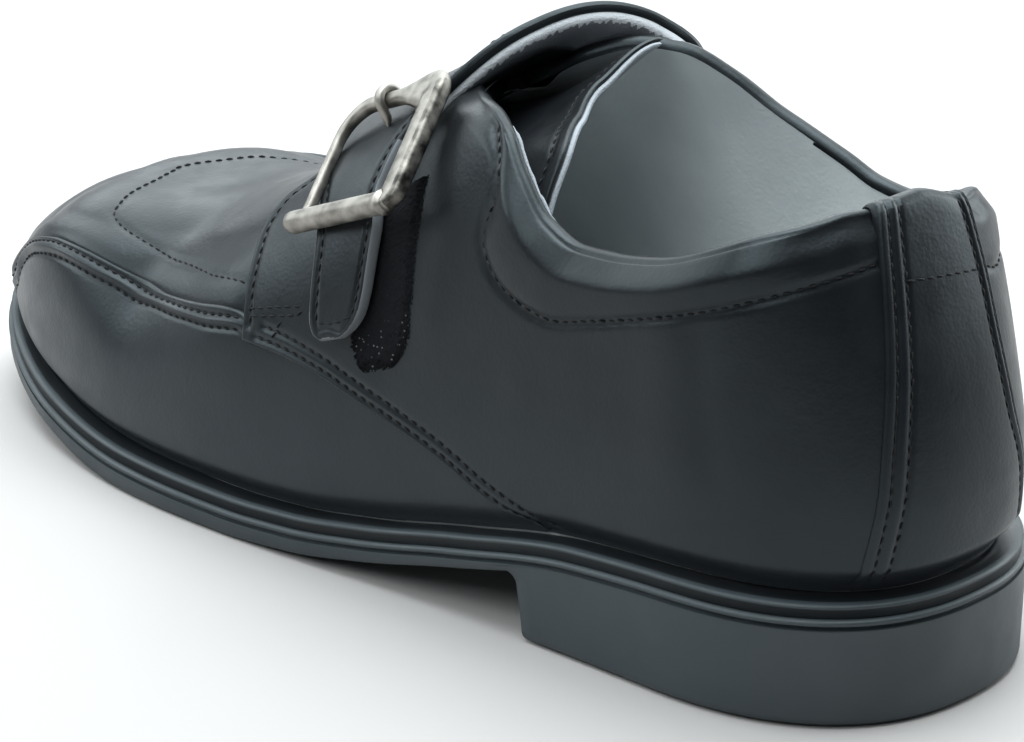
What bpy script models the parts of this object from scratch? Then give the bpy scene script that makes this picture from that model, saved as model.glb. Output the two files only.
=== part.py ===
"""Left dress shoe in a child's size: a strap shoe with a frame buckle over a hook-and-loop closure, standing empty.

Lengths are millimetres until a mesh is made. A station runs from the back of the heel to the toe, breadth is
positive on the lateral (outer) side, and a girth position runs over the last from -1 at the lateral feather edge,
through 0 at the widest line and 1 at the ridge, down the medial side to 3 at its feather edge. A rise is the same
measure on one side. The finished shoe has its toe towards -X and its lateral side towards -Y.
"""

import math

import bmesh
import bpy
import numpy as np

# Plan of the sole and the last
SOLE_LENGTH = 216.0
HEEL_ROUND = 38.0
TOE_ROUND = 80.0
HEEL_POWER = 2.3
TOE_POWER = 2.1
HEEL_BREAST = 65.0

# How the upper stands on the sole
UPPER_INSET = 3.0
TOE_INSET = 3.2
TUCK = 1.5
TOE_SLOPE = 27.0
TOE_SLOPE_RUN = 66.0
HEEL_LEAN = 16.0
HEEL_LEAN_RISE = 48.0
END_FADE = 1.5

# Thickness of each piece, and the clearance between pieces that meet
GAP = 0.35
SKIN_GAP = 0.5
HEEL_GAP = 0.85
SHELL = 1.6
WING = 1.1
WING_LIP = 1.2
QUARTER = 1.6
EDGE_GAP = 0.65
COLLAR_PAD = 1.3
BACKSTAY = 1.7
TONGUE = 2.0
PILE = 0.8
STRAP = 1.9
WELT = 2.5
WELT_WIDTH = 6.3
INSOLE_INSET = 6.8
INSOLE_RISE = 2.2

# Sections of the last: half breadths of the sole edge, heights of the sole's underside, of the feather edge, of the
# widest line above it and of the ridge, and how square the section is over its shoulder
LAST_COLUMNS = ("station", "lateral", "medial", "under", "feather", "girth", "ridge", "square")
LAST_ROWS = (
    (0, 33.0, 31.5, 15.4, 21.0, 14.0, 118.0, 2.40),
    (30, 33.5, 31.5, 15.2, 20.8, 14.0, 117.0, 2.40),
    (55, 34.0, 31.0, 13.6, 19.2, 14.0, 109.5, 2.40),
    (80, 35.0, 30.5, 8.0, 14.2, 14.0, 94.5, 2.30),
    (100, 36.6, 32.5, 3.2, 9.9, 13.0, 77.2, 2.20),
    (115, 38.2, 35.0, 0.8, 7.9, 12.0, 68.0, 2.20),
    (130, 39.4, 37.4, 0.0, 7.3, 11.5, 58.2, 2.25),
    (155, 40.0, 39.3, 0.0, 7.5, 10.3, 44.7, 2.0),
    (180, 39.5, 39.5, 2.8, 9.8, 9.5, 42.5, 3.7),
    (200, 38.4, 38.5, 7.0, 13.8, 8.0, 42.6, 1.8),
    (216, 37.6, 37.5, 10.6, 17.8, 7.0, 40.4, 1.08),
)

# Height of the top line along each side, up to the front of the throat
THROAT = 101.0
TOPLINE_COLUMNS = ("station", "lateral", "medial")
TOPLINE_ROWS = (
    (3, 79.3, 79.3),
    (6, 79.2, 76.6),
    (10, 78.3, 74.4),
    (20, 76.3, 71.4),
    (30, 73.3, 68.4),
    (38, 70.6, 66.8),
    (44, 69.1, 67.2),
    (50, 68.1, 69.6),
    (57, 67.7, 71.2),
    (64, 69.7, 74.2),
    (71, 75.0, 78.2),
    (78, 80.2, 81.3),
    (84, 81.6, 82.0),
    (91, 80.7, 80.8),
    (96, 79.0, 79.0),
    (101, 76.3, 76.3),
)

# Edges of the quarters: heights of the lower one, which the wings come up to, and stations of the front one
QUARTER_LOW_COLUMNS = ("station", "height")
QUARTER_LOW_ROWS = (
    (62, 17.2), (66, 18.8), (74, 21.7), (81, 24.8), (91, 28.3), (101, 31.0), (109, 33.0), (118, 34.2),
    (126, 34.4),
)
QUARTER_FRONT_COLUMNS = ("rise", "station")
QUARTER_FRONT_ROWS = (
    (0.0, 125.0), (0.208, 126.2), (0.30, 127.2), (0.35, 127.9), (0.468, 129.4), (0.575, 130.7), (0.655, 130.2),
    (0.71, 126.5), (0.80, 123.0), (1.0, 118.0),
)
LOWEST = -0.93

# Top edge of the wings ahead of the quarters, round the toe to the sole, as rises
WING_REAR = 70.0
WING_TOP_COLUMNS = ("station", "rise")
WING_TOP_ROWS = (
    (126.7, 0.197), (128.4, 0.295), (138, 0.334), (148, 0.385), (157, 0.425), (168, 0.415), (179, 0.374),
    (184.7, 0.328), (191, 0.281), (197.2, 0.20), (201, 0.09), (204.5, -0.20), (206, -0.60),
)
WING_LIP_START = 128.0
WING_LIP_WIDTH = 0.10

# Edges of the strip up the back of the heel
BACKSTAY_COLUMNS = ("height", "lateral", "medial")
BACKSTAY_ROWS = (
    (20, 9.9, 7.8), (27, 9.1, 7.4), (36, 8.1, 6.6), (45, 7.3, 5.4), (55, 6.4, 4.4), (65, 5.9, 3.8),
    (82, 5.9, 3.5),
)

# Free edge of the tongue, and how far its instep is let down there
TONGUE_COLUMNS = ("girth", "station", "sag")
TONGUE_ROWS = (
    (0.40, 69.8, 12.0), (0.60, 71.8, 14.0), (0.83, 77.2, 14.0), (1.0, 81.0, 10.0), (1.14, 81.0, 6.0),
    (1.33, 79.6, 0.0),
)
TONGUE_LEVEL = 112.0
TONGUE_FRONT = 120.0

# Strap from the medial quarter over the instep to its tip on the lateral side: its rear and front edges
STRAP_COLUMNS = ("girth", "rear", "front")
STRAP_ROWS = (
    (0.205, 101.5, 105.5), (0.22, 99.2, 107.4), (0.25, 97.4, 108.6), (0.30, 96.9, 109.2), (0.40, 97.3, 110.4),
    (0.52, 99.6, 113.0), (0.66, 99.2, 117.5), (0.75, 97.2, 119.5), (0.88, 93.5, 121.0), (1.0, 91.0, 121.5),
    (1.2, 86.2, 121.5), (1.36, 81.8, 119.5), (1.47, 77.8, 118.0), (1.6, 76.2, 116.0),
)
STRAP_STEP = (0.52, 0.66)

# Pile patch under the strap's tip
PILE_COLUMNS = ("girth", "rear", "front")
PILE_ROWS = (
    (0.13, 92.5, 98.5), (0.15, 90.0, 100.5), (0.19, 88.8, 102.0), (0.35, 90.0, 103.5), (0.50, 91.5, 104.5),
)

# Frame buckle: middles of its near and far bars, its direction along them, and its bars
BUCKLE_NEAR = (102.6, 33.8, 62.9)
BUCKLE_FAR = (108.2, 18.1, 76.2)
BUCKLE_ALONG = (-0.916, 0.073, 0.394)
BUCKLE_LENGTH = 23.3
BUCKLE_CORNER = 3.6
# side of the frame, half width in its plane, half height
BUCKLE_BARS = {"near": (2.0, 2.0), "rear": (1.75, 1.5), "far": (1.4, 1.2), "front": (1.0, 1.0)}
BUCKLE_BOW = 1.2
PRONG_PLACE = -1.6
PRONG_RADIUS = 0.8
PRONG_BEND = 2.75

# How finely the surfaces are divided
HEEL_STEPS = 8
BODY_STEPS = 15
TOE_STEPS = 13

# Colour, roughness and metallic value of each material
MATERIALS = {
    "leather": ((0.018, 0.020, 0.024), 0.36, 0.0),
    "sole": ((0.020, 0.021, 0.024), 0.45, 0.0),
    "heel": ((0.040, 0.044, 0.050), 0.55, 0.0),
    "lining": ((0.42, 0.45, 0.46), 0.80, 0.0),
    "pile": ((0.008, 0.008, 0.009), 0.95, 0.0),
    "nickel": ((0.62, 0.58, 0.52), 0.30, 1.0),
}


def smooth(xs, ys, x):
    """Monotone cubic through a short table, so that no value overshoots between its rows."""
    xs = np.asarray(xs, float)
    ys = np.asarray(ys, float)
    x = np.clip(np.asarray(x, float), xs[0], xs[-1])
    step = np.diff(xs)
    slope = np.diff(ys) / step
    tangent = np.concatenate([slope[:1], np.zeros(len(xs) - 2), slope[-1:]])
    for i in range(1, len(xs) - 1):
        if slope[i - 1] * slope[i] > 0:
            near = 2 * step[i] + step[i - 1]
            far = step[i] + 2 * step[i - 1]
            tangent[i] = (near + far) / (near / slope[i - 1] + far / slope[i])
    i = np.clip(np.searchsorted(xs, x, side="right") - 1, 0, len(xs) - 2)
    f = (x - xs[i]) / step[i]
    start = ys[i] * (1 + 2 * f) * (1 - f) ** 2 + step[i] * tangent[i] * f * (1 - f) ** 2
    finish = ys[i + 1] * f ** 2 * (3 - 2 * f) + step[i] * tangent[i + 1] * f ** 2 * (f - 1)
    return start + finish


def read(columns, rows, name, x):
    """One named column of a table, at x of its first column."""
    table = np.array(rows, float)
    return smooth(table[:, 0], table[:, columns.index(name)], x)


def last(name, station):
    return read(LAST_COLUMNS, LAST_ROWS, name, station)


def rounding(station, heel_inset, toe_inset):
    """Share of the half breadth left where the plan rounds in at the heel and at the toe."""
    heel = np.clip((heel_inset + HEEL_ROUND - station) / HEEL_ROUND, 0, 1)
    toe = np.clip((station - (SOLE_LENGTH - toe_inset - TOE_ROUND)) / TOE_ROUND, 0, 1)
    at_heel = (1 - heel ** HEEL_POWER) ** (1 / HEEL_POWER)
    at_toe = (1 - toe ** TOE_POWER) ** (1 / TOE_POWER)
    return at_heel * at_toe


def plan_half(station, side, inset, toe_inset):
    """Half breadth of the plan outline, drawn in from the sole edge. Side is 1 lateral, -1 medial."""
    edge = np.where(side > 0, last("lateral", station), last("medial", station))
    return (edge - inset) * rounding(station, inset, toe_inset)


def stations(inset, toe_inset, start=None, finish=None):
    """Stations of the plan outline from heel to toe, close together where it turns."""
    turn = np.linspace(0, math.pi / 2, HEEL_STEPS + 1)
    heel = inset + HEEL_ROUND * (1 - np.cos(turn) ** (2 / HEEL_POWER))
    turn = np.linspace(0, math.pi / 2, TOE_STEPS + 1)
    toe = SOLE_LENGTH - toe_inset - TOE_ROUND * (1 - np.sin(turn) ** (2 / TOE_POWER))
    body = np.linspace(heel[-1], toe[0], BODY_STEPS + 1)[1:-1]
    found = np.concatenate([heel, body, toe])
    if start is not None:
        found = np.concatenate([[start], found[found > start + 1]])
    if finish is not None:
        found = np.concatenate([found[found < finish - 1], [finish]])
    return found


def widest_line(station):
    return last("feather", station) + last("girth", station)


def form(station, girth, let_down=0.0):
    """Point (station, breadth, height) on the form of the last, with its instep let down if asked."""
    station, girth = np.broadcast_arrays(np.asarray(station, float), np.asarray(girth, float))
    side = np.where(girth <= 1, 1.0, -1.0)
    rise = np.where(girth <= 1, girth, 2 - girth)
    widest = widest_line(station)
    ridge = last("ridge", station) - let_down
    power = 2 / last("square", station)
    turn = np.clip(rise, 0, 1) * math.pi / 2
    below = np.clip(-rise, 0, 1)
    across = np.clip(np.cos(turn), 0, 1) ** power
    height = widest + (ridge - widest) * np.sin(turn) ** power - last("girth", station) * below
    toe = np.clip((station - (SOLE_LENGTH - TOE_INSET - TOE_SLOPE_RUN)) / TOE_SLOPE_RUN, 0, 1) ** END_FADE
    heel = np.clip((UPPER_INSET + HEEL_ROUND - station) / HEEL_ROUND, 0, 1) ** END_FADE
    lean = HEEL_LEAN * np.clip((height - widest) / HEEL_LEAN_RISE, 0, 1.3) ** END_FADE
    place = station - toe * TOE_SLOPE * (1 - across) + heel * (lean + TUCK * below ** 2)
    breadth = plan_half(station, side, UPPER_INSET, TOE_INSET) * across
    breadth = breadth - TUCK * below ** 2 * rounding(station, UPPER_INSET, TOE_INSET)
    return np.stack([place, side * breadth, height], -1)


def lifted(station, girth, lift, let_down=0.0):
    """Point of the form moved out by lift along the form's normal."""
    values = (station, girth, lift, let_down)
    station, girth, lift, let_down = np.broadcast_arrays(*(np.asarray(value, float) for value in values))
    first = UPPER_INSET
    final = SOLE_LENGTH - TOE_INSET
    small_station = 0.05
    small_girth = 0.002
    off_ridge = np.where(girth <= 1, np.minimum(girth, 0.995), np.maximum(girth, 1.005))
    ahead = form(np.minimum(station + small_station, final), off_ridge, let_down)
    behind = form(np.maximum(station - small_station, first), off_ridge, let_down)
    over = form(station, np.minimum(off_ridge + small_girth, 3), let_down)
    under = form(station, np.maximum(off_ridge - small_girth, -1), let_down)
    normal = np.cross(over - under, ahead - behind)
    at_tip = (station <= first) | (station >= final)
    normal[..., 1] = np.where(at_tip, 0, normal[..., 1])
    normal /= np.linalg.norm(normal, axis=-1, keepdims=True)
    return form(station, girth, let_down) + normal * lift[..., None]


def rise_of_height(station, height):
    """The rise at which the form reaches a height."""
    widest = widest_line(station)
    share = np.clip((height - widest) / (last("ridge", station) - widest), 0, 1)
    above = np.arcsin(share ** (last("square", station) / 2)) * 2 / math.pi
    below = np.clip((height - widest) / last("girth", station), -1, 0)
    return above + below


def top_rise(station, side):
    """Rise of the top line: the collar and the sides of the throat, then the ridge where the vamp is closed."""
    name = "lateral" if side > 0 else "medial"
    height = read(TOPLINE_COLUMNS, TOPLINE_ROWS, name, station)
    return np.where(station >= THROAT - 0.01, 1.0, rise_of_height(station, height))


def girth_of(rise, side):
    return rise if side > 0 else 2 - rise


def make_material(name):
    colour, roughness, metallic = MATERIALS[name]
    material = bpy.data.materials.get(name) or bpy.data.materials.new(name)
    material.use_nodes = True
    shader = material.node_tree.nodes["Principled BSDF"]
    shader.inputs["Base Color"].default_value = (*colour, 1.0)
    shader.inputs["Roughness"].default_value = roughness
    shader.inputs["Metallic"].default_value = metallic
    return material


def breadth_middle():
    """Middle of the sole's breadth, which is the origin's line."""
    station = np.linspace(0, SOLE_LENGTH, 400)
    return (plan_half(station, 1, 0, 0).max() - plan_half(station, -1, 0, 0).max()) / 2


def make_object(name, points, faces, material, parent):
    """A closed mesh object from points in shoe millimetres, with coincident points joined and faces turned out."""
    points = np.asarray(points, float).reshape(-1, 3)
    world = np.empty_like(points)
    world[:, 0] = SOLE_LENGTH / 2 - points[:, 0]
    world[:, 1] = breadth_middle() - points[:, 1]
    world[:, 2] = points[:, 2]
    mesh = bpy.data.meshes.new(name)
    mesh.from_pydata((world / 1000).tolist(), [], faces)
    shape = bmesh.new()
    shape.from_mesh(mesh)
    bmesh.ops.remove_doubles(shape, verts=shape.verts, dist=1e-5)
    bmesh.ops.dissolve_degenerate(shape, edges=shape.edges, dist=1e-6)
    bmesh.ops.recalc_face_normals(shape, faces=shape.faces)
    shape.to_mesh(mesh)
    shape.free()
    mesh.shade_smooth()
    mesh.set_sharp_from_angle(angle=math.radians(40))
    mesh.materials.append(make_material(material))
    thing = bpy.data.objects.new(name, mesh)
    thing.parent = parent
    bpy.context.scene.collection.objects.link(thing)
    return thing


def grid_faces(rows, columns, offset, flip):
    """Quads over a grid of points that are numbered row by row."""
    faces = []
    for row in range(rows - 1):
        for column in range(columns - 1):
            a = offset + row * columns + column
            quad = (a, a + 1, a + columns + 1, a + columns)
            faces.append(quad[::-1] if flip else quad)
    return faces


def slab(name, outer, inner, material, parent):
    """A sheet with thickness: two grids of points facing each other, closed round the rim."""
    rows, columns = outer.shape[:2]
    count = rows * columns
    faces = grid_faces(rows, columns, 0, False) + grid_faces(rows, columns, count, True)
    rim = [column for column in range(columns)]
    rim += [row * columns + columns - 1 for row in range(1, rows)]
    rim += [(rows - 1) * columns + column for column in range(columns - 2, -1, -1)]
    rim += [row * columns for row in range(rows - 2, 0, -1)]
    for here, there in zip(rim, rim[1:] + rim[:1]):
        faces.append((here, here + count, there + count, there))
    points = np.concatenate([outer.reshape(-1, 3), inner.reshape(-1, 3)])
    return make_object(name, points, faces, material, parent)


def make_upper(parent):
    """The lasted shell: one hollow wall, open at the collar and throat and underneath."""
    along = stations(UPPER_INSET, TOE_INSET)
    along[np.argmin(abs(along - THROAT))] = THROAT
    below = np.array([-1.0, -0.5, 0.0])
    share = np.linspace(0, 1, 10)[1:]
    sides = []
    for side in (1, -1):
        top = top_rise(along, side)
        rise = np.concatenate([np.repeat(below[:, None], len(along), 1), share[:, None] * top[None, :]])
        sides.append((side, girth_of(rise, side), top))
    rows, columns = sides[0][1].shape
    points = []
    faces = []
    for side, girth, top in sides:
        start = sum(len(block) for block in points)
        for lift in (0.0, -SHELL):
            points.append(lifted(along[None, :], girth, lift).reshape(-1, 3))
        count = rows * columns
        faces += grid_faces(rows, columns, start, side > 0)
        faces += grid_faces(rows, columns, start + count, side < 0)
        for column in range(columns - 1):
            low = start + column
            faces.append((low, low + 1, low + count + 1, low + count))
            if top[column] < 1 or top[column + 1] < 1:
                high = start + (rows - 1) * columns + column
                faces.append((high, high + 1, high + count + 1, high + count))
    return make_object("upper", np.concatenate(points), faces, "leather", parent)


def make_tongue(parent):
    """A soft flap under the throat, lying lower than the closed instep because no foot is inside."""
    across = np.linspace(TONGUE_ROWS[0][0], TONGUE_ROWS[-1][0], 11)[:, None]
    share = np.linspace(0, 1, 9)[None, :]
    edge = read(TONGUE_COLUMNS, TONGUE_ROWS, "station", across)
    station = edge + (TONGUE_FRONT - edge) * share
    level = np.clip((TONGUE_LEVEL - station) / (TONGUE_LEVEL - edge), 0, 1)
    sag = read(TONGUE_COLUMNS, TONGUE_ROWS, "sag", across) * level ** 2 * (3 - 2 * level)
    outside = -SHELL - GAP - 0.1
    outer = lifted(station, across, outside, sag)
    inner = lifted(station, across, outside - TONGUE, sag)
    return slab("tongue", outer, inner, "leather", parent)


def collar_pad(station, height, side):
    """Extra thickness of the quarter where its collar is padded, below the top line."""
    name = "lateral" if side > 0 else "medial"
    below = read(TOPLINE_COLUMNS, TOPLINE_ROWS, name, station) - height
    band = 11.0
    swell = np.sin(np.clip(below / band, 0, 1) * math.pi) ** 0.8
    return COLLAR_PAD * swell * np.clip((77 - station) / 9, 0, 1) * np.clip((station - 5) / 20, 0, 1)


def make_quarter(side, parent):
    """A rear side panel, from the strip at the heel to the front edge over the instep."""
    name = "lateral" if side > 0 else "medial"
    heel_end = BACKSTAY_ROWS[4][BACKSTAY_COLUMNS.index(name)]
    nominal = stations(UPPER_INSET, TOE_INSET, heel_end, QUARTER_FRONT_ROWS[0][1])[None, :]
    share = np.array([0, 0.13, 0.26, 0.40, 0.54, 0.67, 0.78, 0.86, 0.93, 1.0])[:, None]
    low = read(QUARTER_LOW_COLUMNS, QUARTER_LOW_ROWS, "height", nominal)
    low = np.maximum(rise_of_height(nominal, low), LOWEST)
    high = np.minimum(top_rise(nominal, side), 0.985)
    rise = low + (high - low) * share
    strip_edge = read(BACKSTAY_COLUMNS, BACKSTAY_ROWS, name, form(heel_end, rise)[..., 2]) + GAP
    at_heel = np.clip((24 - nominal) / (24 - heel_end), 0, 1)
    front_edge = read(QUARTER_FRONT_COLUMNS, QUARTER_FRONT_ROWS, "station", rise)
    at_front = np.clip((nominal - THROAT) / (nominal[0, -1] - THROAT), 0, 1)
    station = nominal + (strip_edge - heel_end) * at_heel + (front_edge - nominal[0, -1]) * at_front
    girth = girth_of(rise, side)
    pad = collar_pad(station, form(station, girth)[..., 2], side)
    outer = lifted(station, girth, SKIN_GAP + QUARTER + pad)
    inner = lifted(station, girth, HEEL_GAP + (SKIN_GAP - HEEL_GAP) * np.clip((station - 16) / 16, 0, 1))
    return slab("quarter_" + name, outer, inner, "leather", parent)


def make_wing(side, parent):
    """A forward side panel between the quarter and the toe, with a raised lip along the apron."""
    first = WING_TOP_ROWS[0][0]
    final = WING_TOP_ROWS[-1][0]
    along = stations(UPPER_INSET, TOE_INSET, WING_REAR, final)
    corners = np.linspace(196, final, 6)
    along = np.sort(np.concatenate([along[along < 194], [124.0, first, 128.4], corners]))[None, :]
    share = np.array([0, 0.2, 0.4, 0.6, 0.75, 0.86, 0.94, 1.0])[:, None]
    under_quarter = read(QUARTER_LOW_COLUMNS, QUARTER_LOW_ROWS, "height", along) - EDGE_GAP
    high = read(WING_TOP_COLUMNS, WING_TOP_ROWS, "rise", along)
    high = np.where(along < first, rise_of_height(along, under_quarter), high)
    rise = LOWEST + (high - LOWEST) * share
    near_top = np.clip(1 - (high - rise) / WING_LIP_WIDTH, 0, 1)
    lip = WING_LIP * near_top * np.clip((along - WING_LIP_START) / 4, 0, 1)
    girth = girth_of(rise, side)
    outer = lifted(along, girth, SKIN_GAP + WING + lip)
    inner = lifted(along, girth, SKIN_GAP)
    return slab("wing_lateral" if side > 0 else "wing_medial", outer, inner, "leather", parent)


def make_backstay(parent):
    """The strip up the back of the heel, over the ends of both quarters."""
    share = np.linspace(0, 1, 10)[:, None]
    turn = np.array([-1, -0.8, -0.5, 0, 0.35, 0.6, 0.8, 1])[None, :]
    lateral_top = top_rise(np.array(5.0), 1)
    medial_top = top_rise(np.array(4.0), -1)
    top = medial_top + (lateral_top - medial_top) * np.clip(turn + 1, 0, 1)
    rise = LOWEST + (top - LOWEST) * share
    height = form(5.0, rise)[..., 2]
    lateral = read(BACKSTAY_COLUMNS, BACKSTAY_ROWS, "lateral", height) - UPPER_INSET
    medial = read(BACKSTAY_COLUMNS, BACKSTAY_ROWS, "medial", height) - UPPER_INSET
    reach = np.where(turn > 0, lateral, medial) * abs(turn) ** HEEL_POWER
    girth = np.where(turn > 0, rise, 2 - rise)
    outer = lifted(UPPER_INSET + reach, girth, SKIN_GAP + BACKSTAY)
    inner = lifted(UPPER_INSET + reach, girth, HEEL_GAP)
    return slab("backstay", outer, inner, "leather", parent)


def make_band(name, columns, rows, steps, inner_lift, thickness, material, parent):
    """A band over the form whose rear and front edges come from a table by girth."""
    girth = np.concatenate([np.linspace(a[0], b[0], steps, endpoint=False) for a, b in zip(rows, rows[1:])])
    girth = np.append(girth, rows[-1][0])[:, None]
    rear = read(columns, rows, "rear", girth)
    front = read(columns, rows, "front", girth)
    station = rear + (front - rear) * np.linspace(0, 1, 6)[None, :]
    lift = inner_lift(girth)
    return slab(name, lifted(station, girth, lift + thickness), lifted(station, girth, lift), material, parent)


def make_strap(parent):
    """The strap: sewn to the medial quarter, over the instep and through the buckle to its tip."""
    on_quarter = SKIN_GAP + QUARTER + GAP
    over_pile = on_quarter + PILE + GAP

    def lift(girth):
        return over_pile + (on_quarter - over_pile) * np.clip((girth - STRAP_STEP[0]) / np.ptp(STRAP_STEP), 0, 1)

    return make_band("strap", STRAP_COLUMNS, STRAP_ROWS, 2, lift, STRAP, "leather", parent)


def make_pile_patch(parent):
    """The pile half of the hook-and-loop closure, sewn to the lateral quarter."""
    on_quarter = SKIN_GAP + QUARTER + GAP
    return make_band("pile_patch", PILE_COLUMNS, PILE_ROWS, 2, lambda girth: 0 * girth + on_quarter, PILE,
                     "pile", parent)


def ring(inset, height, finish=None):
    """A loop round the plan, drawn in by an inset: along the lateral side to the front, back along the medial."""
    along = stations(inset, inset, finish=finish)
    back = along[-2:0:-1] if finish is None else along[:0:-1]
    lateral = np.stack([along, plan_half(along, 1, inset, inset), height(along)], -1)
    medial = np.stack([back, -plan_half(back, -1, inset, inset), height(back)], -1)
    return np.concatenate([lateral, medial])


def stack(name, rings, material, parent, hollow=False):
    """Loops joined one to the next, then capped, or closed into a hollow ring."""
    count = len(rings[0])
    faces = []
    for level in range(len(rings) if hollow else len(rings) - 1):
        following = (level + 1) % len(rings)
        for i in range(count):
            j = (i + 1) % count
            faces.append((level * count + i, level * count + j, following * count + j, following * count + i))
    for start in () if hollow else (0, (len(rings) - 1) * count):
        for i in range((count + 1) // 2 - 1 + (count % 2 == 0)):
            corners = (i, i + 1, (count - i - 1) % count, (count - i) % count)
            faces.append([start + c for c in dict.fromkeys(corners)])
    return make_object(name, np.concatenate(rings), faces, material, parent)


def sole_top(station):
    """Upper face of the outsole, under the welt."""
    return last("feather", station) - WELT - 2 * GAP


def make_outsole(parent):
    """The outsole: a plain lower edge, a groove and a rib, with the arch and toe spring of its underside."""
    groove_inset = 0.9
    rib_height = 1.3
    levels = (
        (1.3, lambda s: last("under", s)),
        (0.3, lambda s: last("under", s) + 0.7),
        (0.3, lambda s: sole_top(s) - rib_height - 0.45),
        (groove_inset, lambda s: sole_top(s) - rib_height - 0.1),
        (0.1, lambda s: sole_top(s) - rib_height + 0.3),
        (0.1, lambda s: sole_top(s) - 0.3),
        (groove_inset, lambda s: sole_top(s)),
    )
    return stack("outsole", [ring(inset, height) for inset, height in levels], "sole", parent)


def make_welt(parent):
    """The welt: a bead all round, with a flat that carries the upper."""
    bead = ((0.8, 0.0), (0.2, 0.5), (0.0, 1.1), (0.2, 1.8), (0.9, 2.3), (1.6, WELT))
    profile = ((WELT_WIDTH, 0.0), *bead, (WELT_WIDTH, WELT))
    rings = []
    for inset, height in profile:
        rings.append(ring(inset, lambda s, up=height: last("feather", s) - GAP - WELT + up))
    return stack("welt", rings, "sole", parent, hollow=True)


def make_heel(parent):
    """The heel block under the outsole, with its breast across the waist."""
    levels = (
        (1.4, lambda s: 0 * s),
        (0.7, lambda s: 0 * s + 0.8),
        (0.5, lambda s: last("under", s) - 1.0),
        (0.9, lambda s: last("under", s) - GAP),
    )
    return stack("heel", [ring(inset, height, HEEL_BREAST) for inset, height in levels], "heel", parent)


def make_insole(parent):
    """The insole, inside the welt and the foot of the upper."""
    levels = (
        (INSOLE_INSET, lambda s: sole_top(s) + GAP),
        (INSOLE_INSET, lambda s: last("feather", s) + INSOLE_RISE - 0.6),
        (INSOLE_INSET + 0.6, lambda s: last("feather", s) + INSOLE_RISE),
    )
    return stack("insole", [ring(inset, height) for inset, height in levels], "lining", parent)


def buckle_axes():
    """Middle of the buckle and its directions: along its bars, from near to far, and out of its plane."""
    near = np.array(BUCKLE_NEAR)
    far = np.array(BUCKLE_FAR)
    along = np.array(BUCKLE_ALONG) / np.linalg.norm(BUCKLE_ALONG)
    over = far - near
    over = over - along * np.dot(over, along)
    reach = np.linalg.norm(over)
    over = over / reach
    out = np.cross(along, over)
    return (near + far) / 2, along, over, out, reach


def tube(name, path, widths, heights, wide, high, closed, material, parent, sides=10):
    """A rod with an oval section along a path. Wide and high are the section's directions at each point."""
    turn = np.linspace(0, 2 * math.pi, sides, endpoint=False)
    points = []
    for centre, width, height, w, h in zip(path, widths, heights, wide, high):
        points.append(centre + np.outer(np.cos(turn) * width, w) + np.outer(np.sin(turn) * height, h))
    faces = []
    for step in range(len(path) if closed else len(path) - 1):
        following = (step + 1) % len(path)
        for i in range(sides):
            j = (i + 1) % sides
            faces.append((step * sides + i, step * sides + j, following * sides + j, following * sides + i))
    if not closed:
        faces.append(tuple(range(sides)))
        faces.append(tuple(range((len(path) - 1) * sides, len(path) * sides)))
    return make_object(name, np.concatenate(points), faces, material, parent)


def make_buckle_frame(parent):
    """The frame: four bars with rounded corners, the near one the stoutest."""
    middle, along, over, out, reach = buckle_axes()
    half_long = BUCKLE_LENGTH / 2 - BUCKLE_CORNER
    half_deep = reach / 2 - BUCKLE_CORNER
    corners = (
        (half_long, half_deep, "rear", "far"), (-half_long, half_deep, "far", "front"),
        (-half_long, -half_deep, "front", "near"), (half_long, -half_deep, "near", "rear"),
    )
    path, wide, widths, heights = [], [], [], []
    for corner, (x, y, before, after) in enumerate(corners):
        for share in (0, 0.2, 0.4, 0.6, 0.8, 1):
            angle = (corner + share) * math.pi / 2
            outward = math.cos(angle) * along + math.sin(angle) * over
            path.append(middle + x * along + y * over + BUCKLE_CORNER * outward)
            wide.append(outward)
            blend = share ** 2 * (3 - 2 * share)
            width, height = np.array(BUCKLE_BARS[before]) * (1 - blend) + np.array(BUCKLE_BARS[after]) * blend
            widths.append(width)
            heights.append(height)
        if after == "far":
            for share in (0.25, 0.5, 0.75):
                bow = BUCKLE_BOW * (1 - (2 * share - 1) ** 2)
                path.append(middle + x * (1 - 2 * share) * along + reach / 2 * over + bow * out)
                wide.append(over)
                widths.append(BUCKLE_BARS["far"][0])
                heights.append(BUCKLE_BARS["far"][1])
    return tube("buckle_frame", path, widths, heights, wide, [out] * len(path), True, "nickel", parent)


def make_buckle_prong(parent):
    """The prong: wrapped over the far bar, its pin lying on the strap."""
    middle, along, over, out, reach = buckle_axes()
    bar = reach / 2
    bend = np.radians(np.linspace(-20, 125, 8))
    across = np.concatenate([bar + PRONG_BEND * np.cos(bend), [bar - 3.6, bar - 6.5]])
    up = np.concatenate([PRONG_BEND * np.sin(bend), [1.0, -0.6]])
    bow = BUCKLE_BOW * (1 - (PRONG_PLACE / (BUCKLE_LENGTH / 2 - BUCKLE_CORNER)) ** 2)
    centre = middle + PRONG_PLACE * along + bow * out
    path = centre + across[:, None] * over + up[:, None] * out
    tangent = np.gradient(path, axis=0)
    tangent /= np.linalg.norm(tangent, axis=1, keepdims=True)
    high = np.cross(along, tangent)
    radius = [PRONG_RADIUS] * (len(path) - 1) + [PRONG_RADIUS * 0.7]
    return tube("buckle_prong", path, radius, radius, [along] * len(path), high, False, "nickel", parent, 8)


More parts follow.
